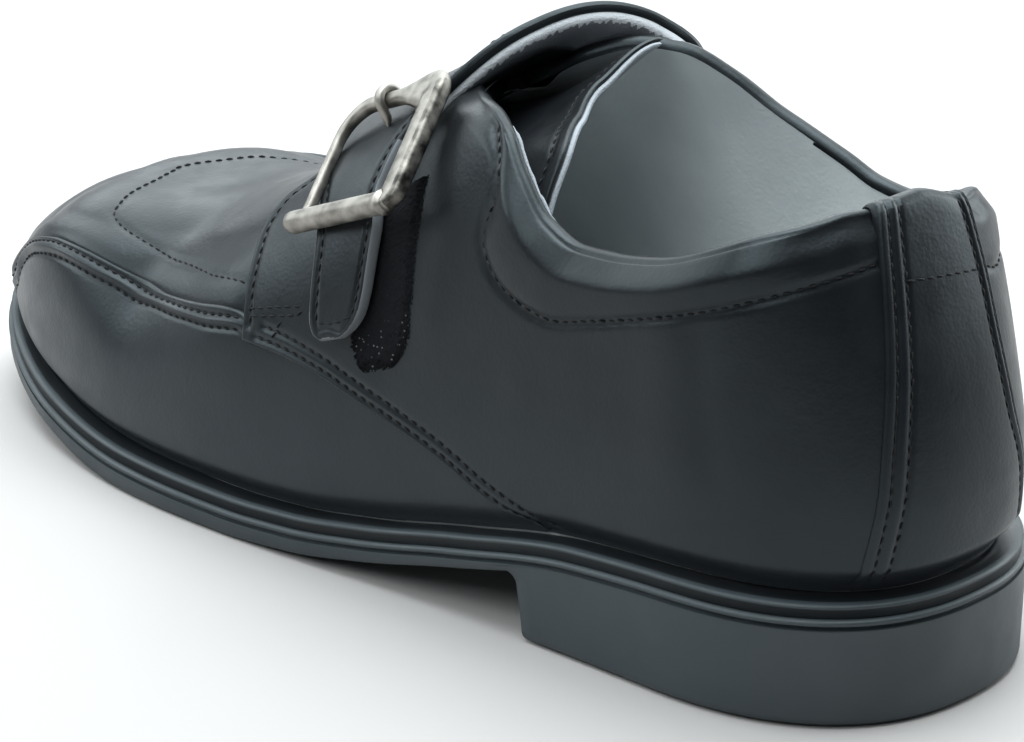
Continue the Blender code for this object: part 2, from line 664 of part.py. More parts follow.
def main():
    for thing in list(bpy.data.objects):
        bpy.data.objects.remove(thing, do_unlink=True)
    shoe = bpy.data.objects.new("shoe", None)
    bpy.context.scene.collection.objects.link(shoe)
    make_outsole(shoe)
    make_welt(shoe)
    make_heel(shoe)
    make_insole(shoe)
    make_upper(shoe)
    make_tongue(shoe)
    for side in (1, -1):
        make_quarter(side, shoe)
        make_wing(side, shoe)
    make_backstay(shoe)
    make_pile_patch(shoe)
    make_strap(shoe)
    make_buckle_frame(shoe)
    make_buckle_prong(shoe)


main()
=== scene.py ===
"""Looks of the left dress shoe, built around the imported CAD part.

Lengths are millimetres until a mesh is made. A station runs from the back of the heel to the toe, breadth
is positive on the lateral side, and a girth runs over the last from -1 at the lateral feather edge, through
0 at the widest line and 1 at the ridge, down the medial side to 3. A rise is the same measure on one side.
A lift is the distance out from the shell's outer face. The first row of a table names its columns.
"""

import math

import bpy
import numpy as np
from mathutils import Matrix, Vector


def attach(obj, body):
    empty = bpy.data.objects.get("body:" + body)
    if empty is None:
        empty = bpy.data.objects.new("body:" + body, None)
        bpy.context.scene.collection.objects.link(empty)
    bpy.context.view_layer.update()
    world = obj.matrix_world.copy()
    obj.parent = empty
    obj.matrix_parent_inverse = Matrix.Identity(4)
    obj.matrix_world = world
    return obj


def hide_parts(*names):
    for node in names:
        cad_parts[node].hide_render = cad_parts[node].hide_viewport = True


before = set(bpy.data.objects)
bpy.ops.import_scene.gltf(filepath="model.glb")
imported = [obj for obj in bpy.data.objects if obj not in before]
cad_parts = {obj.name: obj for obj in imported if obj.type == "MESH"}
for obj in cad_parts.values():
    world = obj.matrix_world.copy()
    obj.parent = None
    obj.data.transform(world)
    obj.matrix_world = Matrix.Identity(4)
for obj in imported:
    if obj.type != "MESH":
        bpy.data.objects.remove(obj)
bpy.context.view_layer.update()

# Plan of the sole and the last, as in the CAD part
SOLE_LENGTH = 216.0
HEEL_ROUND = 38.0
TOE_ROUND = 80.0
HEEL_POWER = 2.3
TOE_POWER = 2.1
HEEL_BREAST = 65.0
UPPER_INSET = 3.0
TOE_INSET = 3.2
TUCK = 1.5
TOE_SLOPE = 27.0
TOE_SLOPE_RUN = 66.0
HEEL_LEAN = 16.0
HEEL_LEAN_RISE = 48.0
END_FADE = 1.5

LAST_ROWS = (
    ("station", "lateral", "medial", "under", "feather", "girth", "ridge", "square"),
    (0, 33.0, 31.5, 15.4, 21.0, 14.0, 118.0, 2.40),
    (30, 33.5, 31.5, 15.2, 20.8, 14.0, 117.0, 2.40),
    (55, 34.0, 31.0, 13.6, 19.2, 14.0, 109.5, 2.40),
    (80, 35.0, 30.5, 8.0, 14.2, 14.0, 94.5, 2.30),
    (100, 36.6, 32.5, 3.2, 9.9, 13.0, 77.2, 2.20),
    (115, 38.2, 35.0, 0.8, 7.9, 12.0, 68.0, 2.20),
    (130, 39.4, 37.4, 0.0, 7.3, 11.5, 58.2, 2.25),
    (155, 40.0, 39.3, 0.0, 7.5, 10.3, 44.7, 2.0),
    (180, 39.5, 39.5, 2.8, 9.8, 9.5, 42.5, 3.7),
    (200, 38.4, 38.5, 7.0, 13.8, 8.0, 42.6, 1.8),
    (216, 37.6, 37.5, 10.6, 17.8, 7.0, 40.4, 1.08),
)

THROAT = 101.0
TOPLINE_ROWS = (
    ("station", "lateral", "medial"),
    (3, 79.3, 78.4), (6, 79.2, 75.8), (10, 78.3, 74.6), (20, 76.3, 71.4), (30, 73.3, 68.4),
    (38, 70.6, 66.8), (44, 69.1, 67.6), (50, 68.1, 70.2), (57, 67.7, 73.0), (64, 69.7, 76.0),
    (71, 75.0, 80.6), (78, 80.2, 84.2), (84, 81.6, 84.8), (91, 80.7, 82.8), (96, 79.0, 79.8),
    (101, 76.3, 76.3),
)
QUARTER_LOW_ROWS = (
    ("station", "height"),
    (62, 17.2), (66, 18.8), (74, 21.7), (81, 24.8), (91, 28.3), (101, 31.0), (109, 33.0), (118, 34.2),
    (126, 34.4),
)
QUARTER_FRONT_ROWS = (
    ("rise", "station"),
    (0.0, 125.0), (0.208, 126.2), (0.30, 127.2), (0.35, 127.9), (0.468, 129.4), (0.575, 130.7),
    (0.655, 130.2), (0.71, 126.5), (0.80, 123.0), (1.0, 118.0),
)
LOWEST = -0.98
WING_REAR = 63.0
WING_TOP_ROWS = (
    ("station", "rise"),
    (123.0, 0.23), (128.4, 0.295), (138, 0.334), (148, 0.385), (157, 0.425), (168, 0.415), (179, 0.374),
    (184.7, 0.328), (191, 0.281), (197.2, 0.20), (201, 0.09), (204.5, -0.20), (206, -0.60), (206.5, -0.90),
)
BACKSTAY_ROWS = (
    ("height", "lateral", "medial"),
    (20, 9.9, 7.4), (27, 9.1, 6.8), (36, 8.1, 5.8), (45, 7.3, 4.8), (55, 6.3, 4.6), (65, 5.5, 4.9),
    (75, 4.7, 5.2), (82, 4.0, 5.4),
)
TONGUE_ROWS = (
    ("girth", "station", "sag"),
    (0.40, 69.8, 12.0), (0.60, 71.8, 14.0), (0.83, 77.2, 14.0), (1.0, 81.0, 10.0), (1.14, 81.0, 6.0),
    (1.33, 79.6, 0.0),
)
TONGUE_LEVEL = 112.0
TONGUE_FRONT = 120.0
STRAP_ROWS = (
    ("girth", "rear", "front"),
    (0.205, 101.5, 105.5), (0.22, 99.2, 107.4), (0.25, 97.4, 108.6), (0.30, 96.9, 109.2), (0.40, 97.3, 110.4),
    (0.52, 99.6, 113.0), (0.66, 99.2, 117.5), (0.75, 97.2, 119.5), (0.88, 93.5, 121.0), (1.0, 91.0, 121.5),
    (1.2, 86.2, 121.5), (1.36, 81.8, 119.5), (1.47, 77.8, 118.0), (1.6, 76.2, 116.0),
)
PILE_ROWS = (
    ("girth", "rear", "front"),
    (0.13, 92.5, 98.5), (0.15, 90.0, 100.5), (0.19, 88.8, 102.0), (0.35, 90.0, 103.5), (0.50, 91.5, 104.5),
)
BUCKLE_NEAR = (102.6, 33.8, 62.9)
BUCKLE_FAR = (108.2, 18.1, 76.2)
BUCKLE_ALONG = (-0.916, 0.073, 0.394)
BUCKLE_LENGTH = 23.3
PRONG_PLACE = -1.6

# Thickness of each layer over the shell, the wing's lip and how far the collar rolls up from its outer face
SHELL = 1.6
WING = 1.5
LATERAL_LIP = 0.6
MEDIAL_LIP = 1.7
ROLL_DROP = 0.9
BACKSTAY_DROP = 1.35
QUARTER = 2.1
BACKSTAY = 2.5
STRAP_LOW = 3.3
STRAP_HIGH = 3.6
STRAP = 1.9
STRAP_STEP = (0.52, 0.66)
# Side and distance from the edge of each seam up the back strip
BACKSTAY_SEAMS = ((1, 2.0), (1, 4.4), (-1, 1.2), (-1, 3.0))
# Soft folds of the quarters as two ends (station, rise), depth and width
QUARTER_CREASES = (
    ((31, 0.16), (28, 0.02), -0.25, 3.0),
    ((37, 0.14), (35, 0.02), 0.25, 5.0),
    ((84, 0.50), (86, 0.20), 0.30, 4.0),
    ((94, 0.12), (72, 0.08), -0.20, 4.0),
)

# Seams as (station, rise)
APRON_UPPER_SEAM = (
    (204.2, -0.70), (203.2, -0.28), (200.4, 0.03), (196.6, 0.165), (191.1, 0.24), (185.7, 0.285),
    (178.2, 0.342), (169.1, 0.374), (160.3, 0.39), (149.4, 0.362), (140.9, 0.318), (134.5, 0.288),
    (127.5, 0.272),
)
APRON_LOWER_SEAM = (
    (202, -0.70), (200.8, -0.32), (198.4, -0.05), (194.8, 0.12), (191.6, 0.172), (184, 0.228), (176.2, 0.281),
    (168.4, 0.314), (161.6, 0.338), (153.5, 0.338), (142.6, 0.292), (133.5, 0.248), (127.5, 0.24),
)
# The seam round the middle of the apron as (station, girth)
PLUG_SEAM = (
    (127.5, 0.364), (137.8, 0.422), (147.7, 0.495), (157.5, 0.53), (164.6, 0.566), (172.2, 0.62),
    (176.7, 0.673), (179.4, 0.746), (182.6, 0.817), (187.1, 0.905), (191.0, 0.963), (192.3, 1.0),
    (190.6, 1.04), (185.5, 1.088), (178.5, 1.15), (172.0, 1.23), (165.0, 1.33), (157.5, 1.42),
    (147.7, 1.50), (137.8, 1.57), (131.5, 1.61),
)
QUARTER_FRONT_SEAM = (
    (124.6, 0.25), (126.1, 0.35), (127.6, 0.468), (128.8, 0.565), (128.4, 0.64), (126.0, 0.68), (122.5, 0.74),
)
# Distances of the seams above the quarter's lower edge
QUARTER_LOW_SEAMS = (1.5, 3.5)
BAR_TACK = ((125.7, 0.294), (115.2, 0.288), (113.8, 0.281), (113.8, 0.274), (114.5, 0.268), (124.7, 0.274))
BAR_TACK_LEG = ((117.6, 0.261), (119.3, 0.214))
# The collar's seam as (station, height)
COLLAR_SEAM = (
    (5, 70.9), (18.6, 67.5), (37.6, 61.7), (52, 57.3), (61, 55.2), (67.7, 56.3), (73.8, 60), (76, 64.3),
    (75.2, 68.5), (74.6, 71.5), (76, 75.2), (80.3, 79.7),
)
# Corners that close the collar's outline above its seam
COLLAR_CORNERS = ((84, 95), (0, 95), (0, 70.9))
# Distance of a seam from the free edge
TONGUE_SEAM = 2.9
STRAP_SEAM = 1.9
# Girths where the strap's edge seam ends and its end seam lies
STRAP_SEAM_END = 0.95
STRAP_END_SEAM = 1.555
# Height of the seam across the back strip at the middle of the heel, and its slope
CROSS_SEAM_HEIGHT = 66.6
CROSS_SEAM_SLOPE = 1.6
STITCH_PITCH = 1.95
STITCH_LENGTH = 1.45
STITCH_RADIUS = 0.19
# Depth and width of the groove that a seam pulls into each panel
SEAM_GROOVES = {
    "apron": (0.28, 0.6), "collar": (0.45, 0.75), "quarter": (0.32, 0.6), "wing": (0.3, 0.5),
    "backstay": (0.3, 0.45), "strap": (0.28, 0.5), "tongue": (0.22, 0.6),
}
# Radius of each panel's rounded edge
EDGE_ROUND = {"quarter": 0.9, "wing": 0.8, "backstay": 0.8, "strap": 0.55, "tongue": 0.5}

# Soft swellings that the panels have over the form
APRON_SWELL = 1.5
APRON_FULLNESS = 2.0
WING_BEAD = 0.55
COLLAR_PAD = 1.7
COLLAR_TAPER = 1.3
STRAP_DOME = 0.35

# Where a normal is taken near the ridge, the vamp's rear end and the stations that stand for the heel's back
NEAR_RIDGE = 0.995
VAMP_REAR = 92.0
HEEL_STATION = np.array(5.0)
MEDIAL_HEEL_STATION = np.array(5.4)
SIDES = {1: "lateral", -1: "medial"}
# Stations where the apron's bead starts and between which the lining's raw edge shows
BEAD_START = 124.0
RAW_EDGE_START = 62.0
RAW_EDGE_END = 81.0
# Girths below which the strap's cut edge is pale and the patch is full of lint
PALE_BELOW = 0.62
LINT_BELOW = 0.215
# How far the quarters reach under the back strip
STRIP_OVERLAP = 0.6

# Half width in the buckle's plane, half height and squareness of each bar
BUCKLE_BARS = {
    "near": (1.3, 1.3, 2.4), "rear": (2.2, 1.5, 3.6), "far": (1.2, 1.2, 2.6), "front": (0.9, 1.0, 2.4),
}
# What the far bar adds to these where it leaves the rear bar
BUCKLE_WEB = (2.3, 0.0, 0.0)
# Side along the bars, side across them, radius, bar before and bar after each corner
BUCKLE_CORNERS = (
    (1, 1, 1.6, "rear", "far"), (-1, 1, 6.5, "far", "front"), (-1, -1, 1.2, "front", "near"),
    (1, -1, 1.6, "near", "rear"),
)
SLEEVE_ENDS = (-16.0, 10.8)
SLEEVE_RADIUS = 1.8
PRONG_BEND = 2.05
PRONG_RADIUS = 0.72
ROD_SIDES = 24
PRONG_SIDES = 16

# The photograph's view: degrees, metres, and the focal length in pixels
CAMERA_AZIMUTH = 44
CAMERA_ELEVATION = 22.3
CAMERA_DISTANCE = 0.756
LOOK_AT = (99.4, 0, 26.4)
FOCAL_PIXELS = 4571
IMAGE_WIDTH = 1024
SENSOR_WIDTH = 36
FLOOR_HALF = 4
LIGHT_COLOUR = (0.90, 0.97, 1.0)
# Name, place, aim, width, depth and watts of each lamp
LIGHTS = (
    ("top", (-0.12, 0.12, 1.15), (0, 0, 0), 1.15, 1.0, 29.0),
    ("back", (-0.78, 0.82, 0.68), (0, 0, 0.03), 1.5, 1.1, 15.0),
    ("front", (0.1, -1.0, 1.1), (0, -0.1, 0.0), 1.0, 0.8, 8.0),
    ("left", (-1.0, -0.45, 0.62), (-0.05, -0.03, 0.03), 1.2, 0.7, 9.5),
    ("right", (0.35, 0.95, 0.45), (0.1, 0, 0.04), 0.8, 0.7, 9.0),
)
# Heights in metres between which the painted reflection of the floor fades out, and the part of a noise that
# its colours span
FLOOR_REFLECTION_LOW = 0.012
FLOOR_REFLECTION_HIGH = 0.044
NOISE_SPAN = (0.35, 0.68)


def smooth(xs, ys, x):
    """Monotone cubic through a short table, so that no value overshoots between its rows."""
    xs = np.asarray(xs, float)
    ys = np.asarray(ys, float)
    x = np.clip(np.asarray(x, float), xs[0], xs[-1])
    step = np.diff(xs)
    slope = np.diff(ys) / step
    tangent = np.concatenate([slope[:1], np.zeros(len(xs) - 2), slope[-1:]])
    for i in range(1, len(xs) - 1):
        if slope[i - 1] * slope[i] > 0:
            near = 2 * step[i] + step[i - 1]
            far = step[i] + 2 * step[i - 1]
            tangent[i] = (near + far) / (near / slope[i - 1] + far / slope[i])
    i = np.clip(np.searchsorted(xs, x, side="right") - 1, 0, len(xs) - 2)
    f = (x - xs[i]) / step[i]
    start = ys[i] * (1 + 2 * f) * (1 - f) ** 2 + step[i] * tangent[i] * f * (1 - f) ** 2
    finish = ys[i + 1] * f ** 2 * (3 - 2 * f) + step[i] * tangent[i + 1] * f ** 2 * (f - 1)
    return start + finish


def read(table, name, x):
    """One named column of a table, at x of its first column."""
    rows = np.array(table[1:], float)
    return smooth(rows[:, 0], rows[:, table[0].index(name)], x)


def last(name, station):
    return read(LAST_ROWS, name, station)


def rounding(station, heel_inset, toe_inset):
    """Share of the half breadth left where the plan rounds in at the heel and at the toe."""
    heel = np.clip((heel_inset + HEEL_ROUND - station) / HEEL_ROUND, 0, 1)
    toe = np.clip((station - (SOLE_LENGTH - toe_inset - TOE_ROUND)) / TOE_ROUND, 0, 1)
    return (1 - heel ** HEEL_POWER) ** (1 / HEEL_POWER) * (1 - toe ** TOE_POWER) ** (1 / TOE_POWER)


def plan_half(station, side, inset, toe_inset):
    """Half breadth of the plan outline, drawn in from the sole edge. Side is 1 lateral, -1 medial."""
    edge = np.where(side > 0, last("lateral", station), last("medial", station))
    return (edge - inset) * rounding(station, inset, toe_inset)


def stations(inset, toe_inset, heel_steps, body_steps, toe_steps):
    """Stations of the plan outline from heel to toe, close together where it turns."""
    turn = np.linspace(0, math.pi / 2, heel_steps + 1)
    heel = inset + HEEL_ROUND * (1 - np.cos(turn) ** (2 / HEEL_POWER))
    turn = np.linspace(0, math.pi / 2, toe_steps + 1)
    toe = SOLE_LENGTH - toe_inset - TOE_ROUND * (1 - np.sin(turn) ** (2 / TOE_POWER))
    body = np.linspace(heel[-1], toe[0], body_steps + 1)[1:-1]
    return np.concatenate([heel, body, toe])


def widest_line(station):
    return last("feather", station) + last("girth", station)


def form(station, girth, let_down=0.0):
    """Point (station, breadth, height) on the form of the last, with its instep let down if asked."""
    station, girth = np.broadcast_arrays(np.asarray(station, float), np.asarray(girth, float))
    side = np.where(girth <= 1, 1.0, -1.0)
    rise = np.where(girth <= 1, girth, 2 - girth)
    widest = widest_line(station)
    ridge = last("ridge", station) - let_down
    power = 2 / last("square", station)
    turn = np.clip(rise, 0, 1) * math.pi / 2
    below = np.clip(-rise, 0, 1)
    across = np.clip(np.cos(turn), 0, 1) ** power
    height = widest + (ridge - widest) * np.sin(turn) ** power - last("girth", station) * below
    toe = np.clip((station - (SOLE_LENGTH - TOE_INSET - TOE_SLOPE_RUN)) / TOE_SLOPE_RUN, 0, 1) ** END_FADE
    heel = np.clip((UPPER_INSET + HEEL_ROUND - station) / HEEL_ROUND, 0, 1) ** END_FADE
    lean = HEEL_LEAN * np.clip((height - widest) / HEEL_LEAN_RISE, 0, 1.3) ** END_FADE
    place = station - toe * TOE_SLOPE * (1 - across) + heel * (lean + TUCK * below ** 2)
    breadth = plan_half(station, side, UPPER_INSET, TOE_INSET) * across
    breadth = breadth - TUCK * below ** 2 * rounding(station, UPPER_INSET, TOE_INSET)
    return np.stack([place, side * breadth, height], -1)


def outward(station, girth, let_down=0.0):
    """Unit normal of the form, pointing out of the shoe."""
    values = (station, girth, let_down)
    station, girth, let_down = np.broadcast_arrays(*(np.asarray(value, float) for value in values))
    first = UPPER_INSET
    final = SOLE_LENGTH - TOE_INSET
    small_station = 0.05
    small_girth = 0.002
    off_ridge = np.where(girth <= 1, np.minimum(girth, NEAR_RIDGE), np.maximum(girth, 2 - NEAR_RIDGE))
    ahead = form(np.minimum(station + small_station, final), off_ridge, let_down)
    behind = form(np.maximum(station - small_station, first), off_ridge, let_down)
    over = form(station, np.minimum(off_ridge + small_girth, 3), let_down)
    under = form(station, np.maximum(off_ridge - small_girth, -1), let_down)
    normal = np.cross(over - under, ahead - behind)
    at_tip = (station <= first) | (station >= final)
    normal[..., 1] = np.where(at_tip, 0, normal[..., 1])
    return normal / np.linalg.norm(normal, axis=-1, keepdims=True)


def lifted(station, girth, lift, let_down=0.0):
    """Point of the form moved out by lift along the form's normal."""
    move = outward(station, girth, let_down) * np.asarray(lift, float)[..., None]
    return form(station, girth, let_down) + move


def rise_of_height(station, height):
    """The rise at which the form reaches a height."""
    widest = widest_line(station)
    share = np.clip((height - widest) / (last("ridge", station) - widest), 0, 1)
    above = np.arcsin(share ** (last("square", station) / 2)) * 2 / math.pi
    return above + np.clip((height - widest) / last("girth", station), -1, 0)


def topline(station, side):
    return read(TOPLINE_ROWS, SIDES[side], station)


def rows_by_height(station, low, high, share):
    """Rises from low to high, spaced by the form's height."""
    foot = form(station, low)[..., 2]
    return rise_of_height(station, foot + (form(station, high)[..., 2] - foot) * share)


def girth_of(rise, side):
    return rise if side > 0 else 2 - rise


def low_edge(station, above=0.0):
    """Rise of the quarter's lower edge, or of a line a distance above it."""
    height = read(QUARTER_LOW_ROWS, "height", station) + above
    return np.maximum(rise_of_height(station, height), LOWEST)


def raw_edge(station, side):
    """Where the lining's raw edge shows along the lateral throat."""
    begun = np.clip((station - RAW_EDGE_START) / 3, 0, 1)
    return begun * np.clip((RAW_EDGE_END - station) / 3, 0, 1) * (side > 0)


def ease(x):
    """A soft step from 0 to 1."""
    x = np.clip(x, 0, 1)
    return x * x * (3 - 2 * x)


def clustered(count, pull):
    """Shares from 0 to 1, close together at both ends."""
    even = np.linspace(0, 1, count)
    return even - pull * np.sin(2 * math.pi * even) / (2 * math.pi)


def rolled(distance, radius):
    """Height of a rounded edge, from 0 at the edge to 1 at the radius and beyond."""
    return np.sqrt(1 - (1 - np.clip(distance / radius, 0, 1)) ** 2)


def hump(distance, width):
    return np.exp(-((distance / width) ** 2))


def groove(panel, distance):
    depth, width = SEAM_GROOVES[panel]
    return depth * hump(distance, width)


def distance_to(points, line):
    """Least distance from each point to a line of points."""
    flat = points.reshape(-1, 3)
    best = np.full(len(flat), 1e9)
    for start, finish in zip(line[:-1], line[1:]):
        step = finish - start
        share = np.clip((flat - start) @ step / max(step @ step, 1e-12), 0, 1)
        best = np.minimum(best, np.linalg.norm(flat - start - share[:, None] * step, axis=1))
    return best.reshape(points.shape[:-1])


def curve(rows, count, stretch=45):
    """A smooth line through rows of two values, evenly spaced with the second stretched to millimetres."""
    rows = np.array(rows, float)
    step = np.hypot(np.diff(rows[:, 0]), np.diff(rows[:, 1]) * stretch)
    along = np.concatenate([[0], np.cumsum(step)])
    place = np.linspace(0, along[-1], count)
    return smooth(along, rows[:, 0], place), smooth(along, rows[:, 1], place)


def seam_on(rows, side, count=90):
    """Stations and girths of a seam given as rows of station and rise."""
    station, rise = curve(rows, count)
    return station, girth_of(rise, side)


def carried(line, base, made):
    """A line on the form, moved as the nearest points of a piece's grid were."""
    flat = base.reshape(-1, 3)
    shift = (made - base).reshape(-1, 3)
    nearest = [np.argmin(((flat - point) ** 2).sum(1)) for point in line]
    return line + shift[nearest]


def under(rise):
    """How far the leather has turned in under itself, above the welt."""
    return ease((-0.60 - rise) / 0.36)


def inside(x, y, outline):
    """Whether each (x, y) lies inside a closed outline."""
    found = np.zeros(x.shape, bool)
    for (x0, y0), (x1, y1) in zip(outline, np.roll(outline, -1, axis=0)):
        if y0 == y1:
            continue
        crosses = (y0 > y) != (y1 > y)
        found ^= crosses & (x < (x1 - x0) * (y - y0) / (y1 - y0) + x0)
    return found


def breadth_middle():
    station = np.linspace(0, SOLE_LENGTH, 400)
    return (plan_half(station, 1, 0, 0).max() - plan_half(station, -1, 0, 0).max()) / 2


MIDDLE = breadth_middle()


def to_world(points):
    """Shoe millimetres to the row frame in metres."""
    points = np.asarray(points, float).reshape(-1, 3)
    return np.stack([SOLE_LENGTH / 2 - points[:, 0], MIDDLE - points[:, 1], points[:, 2]], -1) / 1000


class Look:
    """A Principled material and the nodes that vary it over the object's coordinates."""

    def __init__(self, name, colour, roughness, metallic=0.0, specular=0.5):
        self.material = bpy.data.materials.new(name)
        self.material.use_nodes = True
        self.tree = self.material.node_tree
        self.inputs = self.tree.nodes["Principled BSDF"].inputs
        self.place = self.tree.nodes.new("ShaderNodeTexCoord").outputs["Object"]
        self.inputs["Base Color"].default_value = (*colour, 1)
        self.inputs["Roughness"].default_value = roughness
        self.inputs["Metallic"].default_value = metallic
        self.inputs["Specular IOR Level"].default_value = specular

    def node(self, kind, links, **values):
        """Outputs of a new node, with some inputs linked and constants set on the sockets of others."""
        node = self.tree.nodes.new(kind)
        for name, value in values.items():
            node.inputs[name.replace("_", " ")].default_value = value
        for name, source in links.items():
            self.tree.links.new(source, node.inputs[name])
        return node.outputs

    def texture(self, kind, **values):
        return self.node("ShaderNodeTex" + kind, {"Vector": self.place}, **values)

    def ramp(self, factor, target, low, high, start=0.0, finish=1.0):
        """Drives a shader input by a factor, from one value or colour to another."""
        ramp = self.tree.nodes.new("ShaderNodeValToRGB")
        for i, place, value in ((0, start, low), (1, finish, high)):
            ramp.color_ramp.elements[i].position = place
            ramp.color_ramp.elements[i].color = (*np.broadcast_to(value, 3), 1)
        self.tree.links.new(factor, ramp.inputs["Fac"])
        self.tree.links.new(ramp.outputs["Color"], self.inputs[target])

    def vary(self, target, scale, low, high, detail=3.0):
        """Drives a shader input by noise, between two values or two colours."""
        noise = self.texture("Noise", Scale=scale, Detail=detail)
        self.ramp(noise["Fac"], target, low, high, *NOISE_SPAN)

    def bump(self, *layers):
        """Bump layers of (texture, scale, strength, distance in metres), each over the one before."""
        links = {}
        for kind, scale, strength, distance in layers:
            links["Height"] = self.texture(kind, Scale=scale)[0]
            bump = self.node("ShaderNodeBump", links, Strength=strength, Distance=distance)
            links["Normal"] = bump["Normal"]
        self.tree.links.new(links["Normal"], self.inputs["Normal"])


def leather_material(name, colour, rough, painted_floor_reflection=None):
    """Smooth leather, lighter towards the sole if a colour is given for that: a painted reflection of the
    floor.
    """
    look = Look(name, colour, rough, specular=0.34)
    look.inputs["Specular Tint"].default_value = (0.80, 0.95, 1.0, 1)
    if painted_floor_reflection:
        # the base colour lightens towards the sole as a painted reflection of the floor
        split = look.node("ShaderNodeSeparateXYZ", {"Vector": look.place})
        span = {"From_Min": FLOOR_REFLECTION_LOW, "From_Max": FLOOR_REFLECTION_HIGH}
        height = look.node("ShaderNodeMapRange", {"Value": split["Z"]}, **span)
        look.ramp(height["Result"], "Base Color", painted_floor_reflection, colour)
    look.vary("Roughness", 140.0, rough - 0.04, rough + 0.06)
    look.bump(("Voronoi", 1500.0, 0.10, 0.0002), ("Noise", 420.0, 0.10, 0.0004))
    return look.material


def rubber_material(name, colour, rough):
    look = Look(name, colour, rough)
    look.vary("Roughness", 90.0, rough - 0.06, rough + 0.08)
    look.bump(("Noise", 900.0, 0.06, 0.0003))
    return look.material


def lining_material():
    look = Look("lining", (0.64, 0.67, 0.67), 0.85, specular=0.2)
    look.vary("Base Color", 60.0, (0.59, 0.62, 0.63), (0.68, 0.71, 0.71), 6.0)
    look.bump(("Noise", 1400.0, 0.25, 0.0003), ("Noise", 160.0, 0.25, 0.0010))
    return look.material


def pile_material(name, colour, lint):
    """Fuzzy tape with specks of pale lint."""
    look = Look(name, colour, 1.0, specular=0.02)
    specks = look.texture("Voronoi", Scale=1000.0)
    look.ramp(specks["Distance"], "Base Color", (0.13, 0.135, 0.14), colour, lint, lint + 0.04)
    look.bump(("Noise", 2600.0, 0.5, 0.0004))
    return look.material


def nickel_material(name, dull, worn):
    """Antiqued plate: bright where it is worn, dull and darker in between."""
    look = Look(name, worn, 0.3, metallic=1.0)
    look.vary("Base Color", 420.0, dull, worn, 4.0)
    look.vary("Roughness", 420.0, 0.40, 0.56, 4.0)
    look.bump(("Noise", 900.0, 0.06, 0.0003))
    return look.material


# the leather's last colour is a painted reflection of the floor, low on the leather
LEATHER = leather_material("leather", (0.006, 0.0066, 0.0078), 0.37, (0.020, 0.024, 0.028))
CUT_EDGE = leather_material("cut_edge", (0.14, 0.15, 0.16), 0.6)
# dark welt rubber; on the welt's top face, in the recess under the upper, it is painted shade
WELT_AND_RECESS_SHADE = rubber_material("welt", (0.010, 0.012, 0.014), 0.40)
SOLE = rubber_material("sole", (0.034, 0.046, 0.052), 0.50)
LINING = lining_material()
PILE = pile_material("pile", (0.012, 0.0125, 0.014), 0.03)
PILE_LINT = pile_material("pile_lint", (0.012, 0.0125, 0.014), 0.14)
HOOK = pile_material("hook_tape", (0.20, 0.21, 0.23), 0.03)
LINING_EDGE = pile_material("lining_edge", (0.33, 0.355, 0.38), 0.03)
FRAYED = pile_material("frayed_lining", (0.62, 0.645, 0.67), 0.03)
NICKEL = nickel_material("nickel", (0.22, 0.207, 0.185), (0.41, 0.388, 0.352))
DULL_NICKEL = nickel_material("dull_nickel", (0.05, 0.047, 0.042), (0.34, 0.32, 0.285))
THREAD = Look("thread", (0.004, 0.004, 0.005), 0.7, specular=0.3).material


def piece(name, points, faces, materials, nodes, slot, looks=None, flat_angle=None):
    """A mesh in the row frame that rides with the shoe and stands for CAD nodes.

    Looks index the materials by face.
    """
    mesh = bpy.data.meshes.new(name)
    mesh.from_pydata(to_world(points).tolist(), [], [list(map(int, face)) for face in faces])
    for material in materials:
        mesh.materials.append(material)
    if looks is not None:
        mesh.polygons.foreach_set("material_index", np.asarray(looks, np.int32))
    mesh.shade_smooth()
    if flat_angle:
        mesh.set_sharp_from_angle(angle=math.radians(flat_angle))
    mesh.update()
    thing = bpy.data.objects.new(name, mesh)
    bpy.context.scene.collection.objects.link(thing)
    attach(thing, "root")
    if nodes:
        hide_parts(*nodes)


def quads(rows, columns, start=0, flip=False, around=False):
    """Quads over a grid of points numbered row by row, joined round its columns if asked."""
    row = np.arange(rows - 1)[:, None] * columns
    column = np.arange(columns if around else columns - 1)[None, :]
    following = (column + 1) % columns
    corners = row + column, row + following, row + columns + following, row + columns + column
    found = np.stack(corners, -1).reshape(-1, 4) + start
    return found[:, ::-1] if flip else found


def leather_panel(name, node, points, flip):
    """A panel of leather over a grid of points, in place of a CAD node."""
    piece(name, points, quads(*points.shape[:2], 0, flip), [LEATHER], [node], "leather")


def two_faced(outer, inner):
    """Points and quads of a sheet's outer and inner face."""
    rows, columns = outer.shape[:2]
    faces = np.concatenate([quads(rows, columns, 0, True), quads(rows, columns, rows * columns)])
    return np.concatenate([outer.reshape(-1, 3), inner.reshape(-1, 3)]), faces


def arc(points, axis):
    """Length along a grid's lines from its first row or column."""
    step = np.linalg.norm(np.diff(points, axis=axis), axis=-1)
    zero = np.zeros_like(np.take(step, [0], axis=axis))
    return np.concatenate([zero, np.cumsum(step, axis=axis)], axis=axis)


def edge_ways(points):
    """Distances along a grid's lines from its first and final row and its first and final column."""
    down = arc(points, 0)
    across = arc(points, 1)
    return down, down[-1:] - down, across, across[:, -1:] - across


def band(rows, girth, columns, pull):
    """Stations across a band, from its rear to its front edge."""
    rear = read(rows, "rear", girth)
    return rear + (read(rows, "front", girth) - rear) * clustered(columns, pull)[None, :]


stitch_points = []
stitch_faces = []


def along_line(place, length, values):
    """Values of a line's points, at places along its length."""
    return np.stack([np.interp(place, length, values[:, k]) for k in range(3)], -1)


